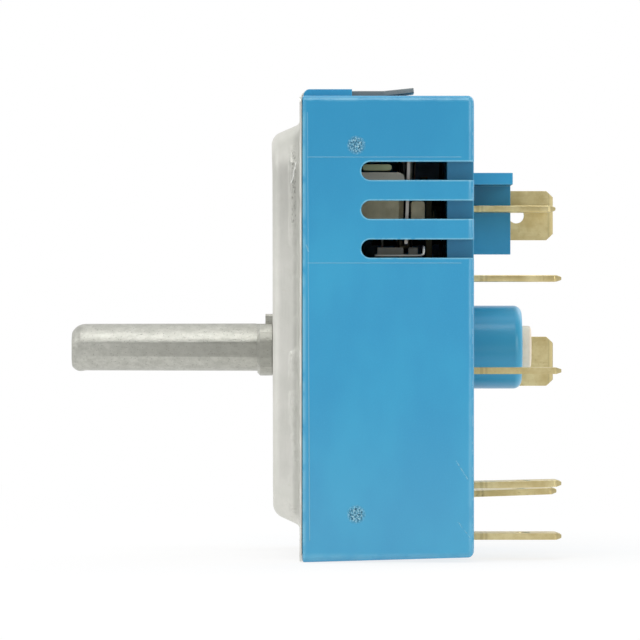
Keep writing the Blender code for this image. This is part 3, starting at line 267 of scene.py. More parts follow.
class Look(Nodes):
    """A procedural material on Object coordinates, in millimetres of the switch's own frame."""

    def __init__(self, name, metallic=0.0):
        self.material = bpy.data.materials.new(name)
        super().__init__(self.material)
        self.shader = self.tree.nodes["Principled BSDF"]
        self.shader.inputs["Metallic"].default_value = metallic
        place = self.node("ShaderNodeTexCoord").outputs["Object"]
        scale = {0: place, "Scale": 1 / MM}
        scaled = self.node("ShaderNodeVectorMath", {"operation": "SCALE"}, scale)
        shift = {0: scaled.outputs[0], 1: tuple(SHIFT)}
        self.place = self.node("ShaderNodeVectorMath", {"operation": "SUBTRACT"}, shift).outputs[0]
        parts = self.node("ShaderNodeSeparateXYZ", {}, {0: self.place})
        self.x, self.y, self.z = (Number(self, parts.outputs[k]) for k in range(3))

    def stretched(self, stretch):
        settings = {"operation": "MULTIPLY"}
        return self.node("ShaderNodeVectorMath", settings, {0: self.place, 1: stretch}).outputs[0]

    def noise(self, scale, detail, stretch=(1.0, 1.0, 1.0), roughness=0.5):
        """Fractal noise, 0 to 1, with about scale blotches for each millimetre."""
        inputs = {"Vector": self.stretched(stretch), "Scale": scale, "Detail": detail,
                  "Roughness": roughness}
        return self.number("ShaderNodeTexNoise", {"noise_dimensions": "3D"}, inputs)

    def specks(self, scale):
        """Distance to the nearest of scattered points, about scale of them for each millimetre."""
        inputs = {"Vector": self.place, "Scale": scale}
        return self.number("ShaderNodeTexVoronoi", {"feature": "F1"}, inputs)

    def blend(self, factor, first, second):
        """first where the factor is 0 and second where it is 1; both are colours."""
        settings = {"data_type": "RGBA", "clamp_factor": True}
        pair = [(*value, 1.0) if isinstance(value, tuple) else value for value in (first, second)]
        inputs = {0: factor, MIX_COLOURS[0]: pair[0], MIX_COLOURS[1]: pair[1]}
        return self.number("ShaderNodeMix", settings, inputs, MIX_RESULT)

    def convex_edges(self, width):
        """A thin mask, 0 to 1, along convex edges."""
        bevel = self.node("ShaderNodeBevel", {"samples": 4}, {"Radius": width * MM})
        geometry = self.node("ShaderNodeNewGeometry")
        settings = {"operation": "DOT_PRODUCT"}
        pair = {0: bevel.outputs[0], 1: geometry.outputs["Normal"]}
        return self.number("ShaderNodeVectorMath", settings, pair, 1).ramp(0.985, 0.8)

    def bump(self, height, distance, strength, below=None):
        """Relief of the height's 0 to 1 over distance millimetres, on top of an earlier bump."""
        inputs = {"Height": height, "Distance": distance * MM, "Strength": strength}
        if below is not None:
            inputs["Normal"] = below
        return self.number("ShaderNodeBump", {}, inputs)

    def finish(self, colour, roughness, normal):
        """Links what changes over the surface to the shader, and gives the material."""
        for name, value in (("Base Color", colour), ("Roughness", roughness), ("Normal", normal)):
            self.tree.links.new(value.socket, self.shader.inputs[name])
        return self.material


def linear(red, green, blue):
    """A colour of 0 to 255 as the eye sees it, turned to linear light."""
    values = (part / 255 for part in (red, green, blue))
    return tuple(v / 12.92 if v <= 0.04045 else ((v + 0.055) / 1.055) ** 2.4 for v in values)


def lighter(colour, share):
    return tuple(min(part * share, 1.0) for part in colour)


def metres(points):
    """Points in millimetres of the switch's own frame, as metres in the model's frame."""
    return (np.asarray(points, float) + SHIFT) * MM


def skin(rings):
    """The surface S(i, j) through rings of points, closed round each ring.

    Row i is joined to row i + 1 by quads, and the first and last rows are capped with one face
    each.
    """
    rings = np.asarray(rings, float)
    rows, columns = rings.shape[:2]
    i, j = np.meshgrid(np.arange(rows - 1), np.arange(columns), indexing="ij")
    near, far = i * columns, (i + 1) * columns
    after = (j + 1) % columns
    faces = np.stack((near + j, near + after, far + after, far + j), axis=-1)
    faces = faces.reshape(-1, 4).tolist()
    faces.append(list(range(columns))[::-1])
    faces.append(list(range((rows - 1) * columns, rows * columns)))
    return rings.reshape(-1, 3), faces


def bow(centre, radius, start, end, steps):
    """The arc C + r (cos t, sin t) for t from start to end degrees."""
    t = np.radians(np.linspace(start, end, steps + 1))
    return np.stack([centre[0] + radius * np.cos(t), centre[1] + radius * np.sin(t)], axis=1)


def soft_box(left, right, bottom, top, radius, steps=8):
    """A rectangle whose four corners are quarter arcs of that radius."""
    corners = (((right - radius, bottom + radius), -90), ((right - radius, top - radius), 0),
               ((left + radius, top - radius), 90), ((left + radius, bottom + radius), 180))
    return np.concatenate([bow(centre, radius, at, at + 90, steps) for centre, at in corners])


def rounded(points, radius, steps=8):
    """The path with each corner turned into an arc of that radius, densely sampled."""
    points = [np.array(point, float) for point in points]
    found = [points[0]]
    for before, corner, after in zip(points, points[1:], points[2:]):
        back = (before - corner) / np.linalg.norm(before - corner)
        ahead = (after - corner) / np.linalg.norm(after - corner)
        half = math.acos(float(np.clip(back @ ahead, -1, 1))) / 2
        centre = corner + (back + ahead) / np.linalg.norm(back + ahead) * radius / math.sin(half)
        spokes = [corner + way * radius / math.tan(half) - centre for way in (back, ahead)]
        share = np.linspace(0, 1, steps + 1)[:, None]
        turn = spokes[0] * (1 - share) + spokes[1] * share
        found += list(centre + radius * turn / np.linalg.norm(turn, axis=1)[:, None])
    found.append(points[-1])
    return np.array(found)


def unit(rows):
    """Each row of vectors, made one long."""
    return rows / np.linalg.norm(rows, axis=1)[:, None]


def normals(path):
    """The unit normals N = (-T2, T1) of a flat path, from its tangents T."""
    tangent = unit(np.gradient(path, axis=0))
    return np.stack([-tangent[:, 1], tangent[:, 0]], axis=1)


def lay(outline, axis, at):
    """Puts a flat outline at a height, or at one height for each point, on an axis."""
    return np.insert(np.asarray(outline, float), "XYZ".index(axis), at, axis=1)


def prism(outline, axis, low, high):
    return skin([lay(outline, axis, low), lay(outline, axis, high)])


def block(x, y, z, radius=0.0):
    """A box, with its four edges along Z rounded where a radius is given."""
    if radius:
        return prism(soft_box(*x, *y, radius, 4), "Z", *z)
    return prism([(x[0], y[0]), (x[1], y[0]), (x[1], y[1]), (x[0], y[1])], "Z", *z)


def lathe(profile, axis="Y", centre=(0.0, 0.0), segments=96):
    """A surface of revolution: the profile's (radius, height) points turned from 0 to 2 pi."""
    t = np.arange(segments) * 2 * math.pi / segments
    circle = np.stack([np.cos(t), np.sin(t)], axis=1)
    return skin([lay(np.array(centre) + radius * circle, axis, at) for radius, at in profile])


def mesh_of(name, points, faces):
    """A mesh from points in millimetres, with its faces turned outwards."""
    mesh = bpy.data.meshes.new(name)
    mesh.from_pydata(metres(points).tolist(), [], faces)
    shape = bmesh.new()
    shape.from_mesh(mesh)
    bmesh.ops.recalc_face_normals(shape, faces=shape.faces)
    shape.to_mesh(mesh)
    shape.free()
    return mesh


def placed(name, data):
    """An object of that mesh, lamp or camera, linked into the scene."""
    thing = bpy.data.objects.new(name, data)
    bpy.context.scene.collection.objects.link(thing)
    return thing


def settle(piece, helpers=()):
    """Applies the piece's modifiers to its mesh and drops the helpers that they used."""
    graph = bpy.context.evaluated_depsgraph_get()
    mesh = bpy.data.meshes.new_from_object(piece.evaluated_get(graph))
    piece.modifiers.clear()
    piece.data = mesh
    for helper in helpers:
        bpy.data.objects.remove(helper, do_unlink=True)
    return piece


def ease(piece, width):
    """Rounds the piece's sharp edges by width millimetres and levels its flat faces' shading."""
    if width:
        edge = piece.modifiers.new("edge", "BEVEL")
        edge.width = width * MM
        edge.segments = 2
        edge.limit_method = "ANGLE"
        edge.angle_limit = SHARP
        settle(piece)
    piece.data.shade_smooth()
    piece.data.set_sharp_from_angle(angle=SHARP)
    level = piece.modifiers.new("level", "WEIGHTED_NORMAL")
    level.keep_sharp = True
    return settle(piece)


def coat(piece, slot):
    """Gives the piece the finish of that material slot."""
    piece.data.materials.clear()
    piece.data.materials.append(LOOKS[slot])


def made(name, shape, slot, body="root", stands_for=(), joins=(), cuts=(), edge=0.0):
    """A finished piece on its body: one surface with others joined and cut, its edges eased."""
    piece = placed(name, mesh_of(name, *shape))
    helpers = []
    for operation, shapes in (("UNION", joins), ("DIFFERENCE", cuts)):
        for other in shapes:
            helper = placed("tool", mesh_of("tool", *other))
            helpers.append(helper)
            step = piece.modifiers.new(operation, "BOOLEAN")
            step.operation = operation
            step.object = helper
    settle(piece, helpers)
    ease(piece, edge)
    coat(piece, slot)
    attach(piece, body)
    if stands_for:
        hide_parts(*stands_for)
    return piece


def softened(node, edge):
    """A solid's own form with its edges eased: its mesh, merged and freed of flat seams."""
    source = frame["nodes"][node]
    shape = bmesh.new()
    shape.from_mesh(source.data)
    bmesh.ops.remove_doubles(shape, verts=shape.verts, dist=SAME_PLACE)
    bmesh.ops.dissolve_limit(shape, angle_limit=SEAM, verts=shape.verts, edges=shape.edges)
    mesh = bpy.data.meshes.new(node + "_eased")
    shape.to_mesh(mesh)
    shape.free()
    piece = placed(node + "_eased", mesh)
    ease(piece, edge)
    coat(piece, SLOTS[node])
    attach(piece, source["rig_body"])
    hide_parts(node)
    return piece


def stroke(look, start, end, half):
    """1 along a straight stroke on the side between two (y, z) points."""
    start, end = np.array(start), np.array(end)
    length = float(np.linalg.norm(end - start))
    along = (end - start) / length
    away = abs((look.y - start[0]) * -along[1] + (look.z - start[1]) * along[0])
    run = (look.y - start[0]) * along[0] + (look.z - start[1]) * along[1]
    return away.ramp(half * 2, half * 0.4) * run.near(length / 2, length / 2, half)


def distance(first, second):
    """The length of the vector with those two parts."""
    return (first * first + second * second) ** 0.5


def vent_rims(look):
    """1 along the eased rim of each vent, just beyond its half height from its middle line, where a
    painted highlight goes.
    """
    ahead = (VENT_START + VENT_HALF - look.y).at_least(0.0)
    return sum(distance(ahead, look.z - height).near(VENT_HALF + 0.08, 0.06, 0.06)
               for height in VENTS)


def side_rim(look):
    """Where a painted highlight lies: 0.6 to 1.5 along the side's edges, most at the front and
    least at the back.
    """
    top = look.z.ramp(TOP - 0.85, TOP - 0.45)
    foot = look.z.ramp(UNDER + 1.3, UNDER + 0.8) * 0.7
    back = look.y.near(DEPTH, 0.4, 0.5) * 0.6
    front = look.y.ramp(0.6, 0.15) * 1.5
    return top.at_least(foot).at_least(back).at_least(front)


def tool_lines(look):
    """The mould's fine lines on the side: a leaning upright one, fuller below, and level ones."""
    upright = (look.y + LINE_LEAN * look.z).near(UPRIGHT_LINE, 0.03, 0.06)
    upright = upright * look.z.near(2.65, 26.0, 0.3)
    upright = upright * (0.7 + 0.8 * look.z.ramp(12.0, -8.0))
    level = sum(look.z.near(height, 0.02, 0.06) for height in LEVEL_LINES)
    level = level * look.y.near(10.0, 9.3, 0.2)
    return (upright + level).at_most(1.5)


def gate_spots(look):
    """1 on the round marks that the gates left, fading at their rims."""
    return sum(distance(look.y - y, look.z - z).ramp(GATE_RADIUS + 0.1, GATE_RADIUS - 0.6)
               for y, z in GATE_MARKS)


def shaded_end(look):
    """1 on the end of the back wall, which shows in shade through the vents' open ends."""
    wall = look.x.near(HALF_WIDTH - WALL - 0.1, 0.3, 0.2)
    return wall * look.y.near(DEPTH - WALL, 1.5, 0.2) * look.z.near(VENTS[1], 6.2, 0.3)


def blue_moulding():
    """Blue thermoset: a spark-eroded grain, faint flow clouds, tool lines, marks and scratches,
    with painted shade and painted highlights.
    """
    look = Look("blue_moulding")
    base, deep, pale = linear(54, 158, 200), linear(49, 149, 194), linear(126, 192, 216)
    clouds = look.noise(0.11, 3.0, (1.0, 1.0, 0.6))
    colour = look.blend(clouds.ramp(0.35, 0.7), deep, base)
    fine = look.noise(5.0, 3.0, roughness=0.6)
    colour = look.blend(fine.ramp(0.45, 0.8) * 0.25, colour, lighter(base, 1.15))
    side = look.x.ramp(SIDE - 0.2, SIDE)
    # Painted shade: the side darker towards its top. Painted light: the side paler towards its
    # foot.
    colour = look.blend(side * look.z.ramp(4.0, 30.0) * 0.4, colour, linear(38, 132, 176))
    colour = look.blend(side * look.z.ramp(-2.0, -24.0) * 0.14, colour, pale)
    lines = side * tool_lines(look)
    spot = side * gate_spots(look)
    torn = look.noise(4.2, 2.0, (0.3, 1.0, 1.0), 0.75)
    scratch = side * sum(stroke(look, *ends, 0.06) for ends in SCRATCHES)
    scratch = scratch * look.noise(2.0, 2.0).ramp(0.35, 0.6)
    chips = side * look.y.ramp(DEPTH - 0.3, DEPTH - 0.16)
    chips = chips * look.noise(1.1, 3.0, (1.0, 0.5, 1.0), 0.6).ramp(0.5, 0.58)
    # Painted highlight along the side's rounded edges, broken up by noise.
    painted_rim_highlight = side * side_rim(look) * look.noise(0.8, 3.0, (1.0, 0.5, 0.5)).ramp(0.25, 0.6)
    # Painted highlight along the moulding's convex edges.
    edge = look.convex_edges(0.22)
    # Painted highlight on the vents' eased rims.
    vent_rim_highlight = side * vent_rims(look) * look.noise(1.5, 2.0).ramp(0.2, 0.55)
    # The tool lines and scratches are real marks; the edges, the side's rim and the vents' rims are
    # painted highlights.
    light = (lines * 0.4 + scratch * 0.8 + edge * 0.6 + painted_rim_highlight * 0.45 + vent_rim_highlight * 0.55).at_most(1.0)
    colour = look.blend(light, colour, pale)
    colour = look.blend(chips * 0.35, colour, linear(214, 234, 240))
    colour = look.blend(spot * 0.3, colour, linear(104, 160, 174))
    colour = look.blend(spot * torn.ramp(0.51, 0.64), colour, linear(172, 206, 212))
    colour = look.blend(spot * torn.ramp(0.52, 0.42), colour, linear(28, 84, 108))
    colour = look.blend(shaded_end(look) * 0.6, colour, linear(38, 96, 124))
    # Painted light: the boss paler than the rest of the moulding.
    boss = distance(look.x, look.z).ramp(BOSS[0] + 1.35, BOSS[0] + 0.95)
    boss = boss * look.y.ramp(DEPTH - 0.05, DEPTH + 0.15)
    colour = look.blend(boss * 0.35, colour, linear(74, 182, 218))
    relief = look.bump(fine, 0.008, 0.45)
    relief = look.bump(lines * 0.5 + spot * torn - scratch, 0.07, 0.9, relief)
    rough = 0.2 + 0.08 * clouds + 0.12 * scratch + 0.3 * spot + 0.05 * boss
    return look.finish(colour, rough, relief)


def cream_moulding():
    """Cream thermoset: slightly mottled, with a fine grain."""
    look = Look("cream_moulding")
    clouds = look.noise(0.6, 3.0)
    fine = look.noise(6.0, 2.0)
    colour = look.blend(clouds.ramp(0.3, 0.75), linear(240, 224, 202), linear(248, 236, 216))
    edge = look.convex_edges(0.2)
    colour = look.blend(edge * 0.4, colour, linear(245, 232, 220))
    return look.finish(colour, 0.42 + 0.15 * clouds, look.bump(fine, 0.01, 0.6))


def tongue_edge(look):
    """1 on the near edge of the tongue, which narrows towards its end."""
    narrowing = (look.y - TONGUE_BEND).at_least(0.0) * 0.11
    edge = (look.x + narrowing).ramp(TONGUE_MIDDLE + 3.0, TONGUE_MIDDLE + 3.08)
    return edge * look.z.ramp(TOP - 0.5, TOP) * look.y.ramp(1.0, 1.4)


def bracket_edges(look):
    """1 on the near edge of the bracket's lip, and 1 on its folds."""
    near = look.x.near(BRACKET_NEAR, 0.05, 0.02)
    lip = look.y.near(BRACKET_BACK - 0.1, 0.2, 0.05) * look.z.near(SHELF + 0.75, 0.6, 0.1)
    fold = look.y.near(BRACKET_BACK - 3.3, 2.8, 0.1) * look.z.near(SHELF + 0.7, 0.45, 0.1)
    return near * lip, near * fold


def drawn_crease(look):
    """1 along the wandering crease in the dish's wall."""
    wander = look.noise(1.4, 3.0)
    crease = (look.y - CREASE_LEAN * look.z + 0.5 * wander + CREASE_SET).near(0.0, 0.05, 0.05)
    return crease * look.z.near(CREASE_HEIGHT, 1.1, 0.3)


def wrinkle_shade_spots(look):
    """1 on small spots in a row at the foot of the dish's wall, for painted shade in its wrinkles.
    """
    flaws = look.noise(3.0, 3.0, (1.0, 1.0, 0.6), 0.7).ramp(0.5, 0.62)
    return flaws * look.y.near(-1.05, 0.2, 0.12) * look.z.near(20.0, 4.0, 1.5)


def plated_steel():
    """Zinc-plated sheet: rolling grain, cloudy spangle, and marks where the wall was drawn.

    The tongue's near edge and the bracket's folds are darker. The dish's near wall has painted
    shade at its foot and towards its top, and painted highlights lighten the bracket's lip and the
    wall's crease.
    """
    look = Look("plated_steel", METAL)
    clouds = look.noise(0.35, 4.0, roughness=0.6)
    grain = look.noise(3.2, 3.0, (1.0, 1.0, 0.12))
    colour = look.blend(clouds.ramp(0.25, 0.8), linear(217, 217, 210), linear(226, 225, 219))
    colour = look.blend(grain.ramp(0.4, 0.8) * 0.15, colour, linear(200, 200, 194))
    dull = look.noise(0.9, 3.0).ramp(0.58, 0.75)
    colour = look.blend(dull * 0.12, colour, linear(206, 204, 192))
    lip, fold = bracket_edges(look)
    # Painted highlight on the near edge of the bracket's lip.
    colour = look.blend(lip, colour, linear(250, 250, 244))
    wall = look.x.ramp(17.0, 19.0) * look.y.ramp(-0.2, -0.5)
    # Painted shade: the near wall darker at its foot and towards its top.
    colour = look.blend(wall * look.y.ramp(-1.35, -0.8) * 0.42, colour, linear(158, 160, 152))
    colour = look.blend(wall * look.z.ramp(8.0, 22.0) * 0.35, colour, linear(158, 158, 152))
    crease = drawn_crease(look) * wall
    # Painted shade in the small wrinkles at the foot of the wall.
    colour = look.blend(wrinkle_shade_spots(look) * wall * 0.6, colour, linear(128, 128, 120))
    # Painted highlight along the crease in the wall.
    colour = look.blend(crease * 0.8, colour, linear(250, 250, 246))
    colour = look.blend(tongue_edge(look) * 0.85, colour, linear(112, 122, 126))
    colour = look.blend(fold * 0.85, colour, linear(92, 90, 80))
    rough = 0.5 + 0.07 * clouds + 0.06 * dull - 0.2 * (lip + crease)
    relief = look.bump(grain, 0.006, 0.6)
    relief = look.bump(look.noise(0.7, 3.0), 0.05, 0.5, relief)
    drawn = look.y.near(-0.95, 0.35, 0.5) * look.noise(0.25, 2.0).ramp(0.42, 0.62)
    relief = look.bump(look.noise(2.2, 3.0, (1.0, 1.0, 0.35), 0.6) * drawn, 0.4, 0.8, relief)
    return look.finish(colour, rough, relief)


def cast_zinc():
    """Die-cast zinc: grey and grainy, with fine pits, and darker on the die's land as a painted
    reflection.
    """
    look = Look("cast_zinc", METAL)
    coarse = look.noise(1.3, 4.0, (1.0, 0.7, 1.0), 0.7)
    fine = look.noise(4.5, 4.0, (1.0, 0.7, 1.0), 0.75)
    pits = look.specks(3.2).ramp(0.2, 0.08)
    colour = look.blend(coarse.ramp(0.3, 0.72), linear(176, 176, 168), linear(196, 196, 188))
    colour = look.blend(fine.ramp(0.5, 0.8) * 0.4, colour, linear(150, 150, 142))
    colour = look.blend(pits * 0.8, colour, linear(84, 83, 77))
    # Painted reflection: the die's land darker than the turned surface.
    turn = math.radians(LAND_TURN)
    land = (look.x * math.cos(turn) - look.z * math.sin(turn)).ramp(2.815, 2.85)
    colour = look.blend(land * 0.5, colour, linear(150, 150, 142))
    rough = 0.26 + 0.12 * coarse + 0.08 * fine
    relief = look.bump(1.4 * fine + 0.7 * coarse, 0.045, 0.9)
    relief = look.bump(1.0 - pits, 0.02, 0.8, relief)
    return look.finish(colour, rough, relief)


def sheet_brass():
    """Stamped brass: tarnished in clouds and finely lined; inside the case painted shade makes it
    nearly black, but for the clip's grey-green bar.
    """
    look = Look("sheet_brass", METAL)
    clouds = look.noise(0.5, 4.0, roughness=0.6)
    lines = look.noise(2.6, 3.0, (0.25, 0.12, 1.0))
    spots = look.noise(2.2, 3.0).ramp(0.6, 0.78)
    colour = look.blend(clouds.ramp(0.3, 0.75), linear(208, 190, 136), linear(232, 218, 168))
    colour = look.blend(lines.ramp(0.45, 0.8) * 0.25, colour, linear(186, 164, 110))
    colour = look.blend(spots * 0.3, colour, linear(164, 140, 92))
    edge = look.convex_edges(0.12)
    colour = look.blend(edge * 0.5, colour, linear(238, 222, 176))
    root = look.y.near(DEPTH + 1.1, 0.12, 0.15) + look.y.near(DEPTH + 1.7, 0.08, 0.12)
    colour = look.blend(root * spots.at_least(0.35) * 0.6, colour, linear(120, 98, 66))
    # Painted shade: brass inside the case nearly black, except the clip's bar above z 21.6, which
    # is grey-green.
    shade_inside_case = look.y.ramp(DEPTH - 0.5, DEPTH - 2.5)
    clip = look.z.ramp(21.3, 21.6)
    shade_and_clip_tint = look.blend(clip, linear(24, 26, 26), linear(186, 197, 160))
    colour = look.blend(shade_inside_case * 0.94, colour, shade_and_clip_tint)
    # Painted shade on the bevelled tips, dimming the highlight that they catch.
    bevel = look.y.ramp(TAB_BEVEL - 0.07, TAB_BEVEL + 0.03)
    colour = look.blend(bevel * 0.6, colour, linear(180, 168, 126))
    rough = 0.26 + 0.2 * clouds + 0.12 * spots + 0.2 * shade_inside_case + 0.15 * bevel
    relief = look.bump(lines, 0.006, 0.6)
    relief = look.bump(look.noise(1.4, 2.0), 0.01, 0.4, relief)
    return look.finish(colour, rough, relief)


def fired_ceramic():
    """Unglazed grey-beige ceramic: fine grain and a few dark specks."""
    look = Look("fired_ceramic")
    clouds = look.noise(0.8, 3.0)
    fine = look.noise(6.0, 3.0, roughness=0.7)
    specks = look.specks(2.4).ramp(0.14, 0.05)
    colour = look.blend(clouds.ramp(0.3, 0.75), linear(184, 172, 138), linear(204, 192, 158))
    colour = look.blend(look.z.ramp(18.5, 20.5), colour, linear(216, 209, 190))
    colour = look.blend(specks * 0.5, colour, linear(120, 112, 98))
    return look.finish(colour, 0.65 + 0.2 * fine, look.bump(fine, 0.02, 0.8))


def spring_metal():
    """Cold-rolled spring metal: fine lengthwise grain and straw-coloured heat tint in places."""
    look = Look("spring_metal", METAL)
    grain = look.noise(3.4, 3.0, (1.0, 1.0, 0.15))
    tint = look.noise(0.5, 2.0).ramp(0.5, 0.75)
    colour = look.blend(grain.ramp(0.35, 0.75), linear(176, 174, 168), linear(198, 196, 190))
    colour = look.blend(tint * 0.4, colour, linear(186, 166, 126))
    return look.finish(colour, 0.26 + 0.18 * grain, look.bump(grain, 0.005, 0.6))


def silver_face():
    """Silver contact: pale, domed and faintly pitted."""
    look = Look("silver_face", METAL)
    clouds = look.noise(1.6, 3.0)
    colour = look.blend(clouds.ramp(0.35, 0.75), linear(212, 210, 204), linear(232, 231, 227))
    return look.finish(colour, 0.24 + 0.2 * clouds, look.bump(look.noise(5.0, 2.0), 0.008, 0.6))


def oxidised_wire():
    """Resistance wire: dark grey-brown oxide over metal, wound in close turns."""
    look = Look("oxidised_wire", METAL)
    clouds = look.noise(1.0, 3.0)
    colour = look.blend(clouds.ramp(0.3, 0.7), linear(96, 86, 78), linear(132, 120, 108))
    return look.finish(colour, 0.4 + 0.2 * clouds, look.bump(look.noise(4.0, 2.0), 0.01, 0.6))


def case_row(y, inset):
    """The case's outline at depth y: a soft rectangle drawn in by inset, its foot rising with y."""
    half = HALF_WIDTH - inset
    low = UNDER + UNDER_RISE * y / DEPTH + inset
    return lay(soft_box(-half, half, low, TOP - inset, EDGE), "Y", y)


def case_shape():
    """Rows of the outline along a profile of (y, inset): back edge, rim, ledge, inside, floor."""
    t = np.radians(np.linspace(0, 90, 9))
    back = zip(DEPTH - EDGE * (1 - np.cos(t)), EDGE * (1 - np.sin(t)))
    rim = LIP / 3
    front = zip(rim - rim * np.sin(t), rim - rim * np.cos(t))
    rest = ((0.0, LIP - 0.1), (0.1, LIP), (LEDGE, LIP), (LEDGE, WALL), (FLOOR, WALL))
    return skin([case_row(y, inset) for y, inset in [*back, *front, *rest]])


def vent_shape(height):
    """A slot: a half circle at its front end, open at the back, through the side wall."""
    end = bow((VENT_START + VENT_HALF, height), VENT_HALF, 90, 270, 24)
    outline = [*end, (DEPTH + 1, height - VENT_HALF), (DEPTH + 1, height + VENT_HALF)]
    return prism(outline, "X", HALF_WIDTH - WALL - SEAT, HALF_WIDTH + 1)


def lever_lug(low, high):
    """A lug that hangs from the inside's top, round below where the lever's pin goes through."""
    reach, y = 1.8, LEVER_PIN[0]
    round_end = bow(LEVER_PIN, reach, 180, 360, 16)
    return prism([*round_end, (y + reach, LUG_ROOT), (y - reach, LUG_ROOT)], "X", low, high)


def rim_lug(middle):
    """A lug beside the tongue: it stands above the case's top, with a rounded front corner."""
    front, back, top, corner, half = 0.15, 6.1, TOP + 0.9, 0.75, 0.6
    turn = bow((front + corner, top - corner), corner, 180, 90, 8)
    outline = [(front, LUG_ROOT), *turn, (back, top), (back, LUG_ROOT)]
    return prism(outline, "X", middle - half, middle + half)


def boss_shape():
    """The boss round the drum's journal, with a fillet at its root and a rounded crown."""
    radius, end, round_edge = BOSS
    fillet = 0.5
    crown = bow((radius - round_edge, end - round_edge), round_edge, 0, 90, 10)
    root = bow((radius + fillet, DEPTH + fillet), fillet, 270, 180, 5)
    return lathe([(radius + fillet, DEPTH - 1), *root, *crown])


def journal_bore():
    """A cutter for the boss's bore, which widens at its mouth."""
    bore, end, widening = JOURNAL + BORE_PLAY, BOSS[1], 0.25
    wide = bore + widening
    return lathe([(bore, FLOOR - 1), (bore, end - widening), (wide, end), (wide, end + 1)])


def tab_slots():
    """Cutters through the back wall, one round each terminal's blade, with play."""
    half, thin = TAB_HALF_WIDTH + SEAT, TAB_HALF_THICKNESS + SEAT
    through = (FLOOR - 1, DEPTH + 1)
    flat = [block((x - half, x + half), through, (z - thin, z + thin)) for x, z in FLAT_TABS]
    upright = [block((x - thin, x + thin), through, (z - half, z + half))
               for x, z in UPRIGHT_TABS]
    return flat + upright


def make_case():
    """The moulding: case, boss, shroud and lugs in one, with every opening cut."""
    joins = [boss_shape(), prism(SHROUD, "Y", DEPTH - 1, DEPTH + SHROUD_REACH)]
    joins += [rim_lug(TONGUE_MIDDLE + side) for side in (-LUG_SPACING, LUG_SPACING)]
    joins += [lever_lug(*lug) for lug in LEVER_LUGS]
    pin = LEVER_PIN_BORE
    cuts = [lathe([(pin, low - 1), (pin, high + 1)], "X", LEVER_PIN, 32)
            for low, high in LEVER_LUGS]
    cuts += [journal_bore(), *tab_slots(), *map(vent_shape, VENTS)]
    notch = (TONGUE_MIDDLE - 3.3, TONGUE_MIDDLE + 3.3)
    cuts.append(block(notch, (-1, LEDGE), (TOP - WALL + SEAT, TOP + 2)))
    return made("moulded_case", case_shape(), "blue_moulding", "root", ["case"], joins, cuts, 0.1)


def dish_row(inset, y):
    """The dish's outline at a depth, drawn in by inset; the face bows forward towards its top."""
    half, tall = DISH_HALF_WIDTH - inset, DISH_HALF - inset
    low, high = DISH_MIDDLE - tall, DISH_MIDDLE + tall
    row = lay(soft_box(-half, half, low, high, max(DISH_CORNER - inset, 1.0), 16), "Y", y)
    level = DISH_HALF * FACE_BOW_START
    rise = np.clip((row[:, 2] - DISH_MIDDLE - level) / (DISH_HALF - level), 0, 1)
    row[:, 1] -= FACE_BOW * rise**2 * max(PLATE_BASE - y, 0) / (PLATE_BASE - PLATE_FACE)
    return row


def thread(radius, depth, pitch, low, high, x):
    """A tapped hole's cutter: r(t, y) = radius + depth w(y / pitch - t / 2 pi).

    w is a blunt tooth of period 1.
    """
    t = np.arange(48) * 2 * math.pi / 48
    y = np.arange(low, high, pitch / 10)[:, None]
    phase = (y / pitch - t / (2 * math.pi)) % 1.0
    tooth = np.clip(1.25 - 3.2 * abs(phase - 0.5), 0, 1)
    reach = radius + depth * tooth
    return skin(np.stack([x + reach * np.cos(t), y + 0 * t, reach * np.sin(t)], axis=-1))


def plate_shape():
    """Rows of the plate's outline: face, shoulder, wall and flange, and back along the inside.

    The section is a path of (inset, y) from the flange to the face, and its inner side is the same
    path moved by the sheet's thickness along its normal.
    """
    face, base, step = PLATE_FACE, PLATE_BASE, -0.08
    halfway = (0.42, (face + base) / 2)
    foot = rounded([(-1.4, base), (-0.35, base), halfway], 0.8)
    shoulder = rounded([halfway, (1.18, face), (4.0, face)], 1.8, 12)
    outer = np.array([*foot, *shoulder[1:], (7.0, face), (11.25, face)])
    inner = outer + SHEET * normals(outer)
    rows = [dish_row(*row) for row in outer[::-1]]
    for inset, ends in ((0.12, (base, step)), (LIP + SEAT, (step, base + SHEET))):
        half, low, high = HALF_WIDTH - inset, UNDER + inset, TOP - inset
        rows += [lay(soft_box(-half, half, low, high, EDGE, 16), "Y", y) for y in ends]
    return skin(rows + [dish_row(*row) for row in inner])


def shaft_hole():
    """The neck round the shaft's hole, and the cutter for the hole and its rounded mouth."""
    face, bore, round_mouth = PLATE_FACE, 3.1, 1.25
    back = face + SHEET + 0.6
    neck = lathe([(bore + 0.5, face + 0.3), (bore + 0.65, back - 0.1), (bore + 0.5, back)])
    mouth = bow((bore + round_mouth, face + round_mouth), round_mouth, 270, 180, 12)
    return neck, lathe([(bore + round_mouth, face - 1), *mouth, (bore, back + 1)])


def screw_hole(x):
    """A screw hole's neck, and the cutters for its rounded mouth and its thread."""
    face, mouth, bore, centre = PLATE_FACE, 1.95, 1.6, (x, 0.0)
    neck = lathe([(2.5, face + 0.3), (2.4, face + 1.5), (2.3, face + 1.6)], "Y", centre, 64)
    lip = bow((mouth, face + 0.3), 0.3, 270, 180, 6)
    opening = lathe([(mouth, face - 1), *lip, (bore, face + 0.9)], "Y", centre, 64)
    tapped = thread(radius=1.62, depth=0.3, pitch=0.7, low=face + 0.35, high=0.0, x=x)
    return neck, opening, tapped


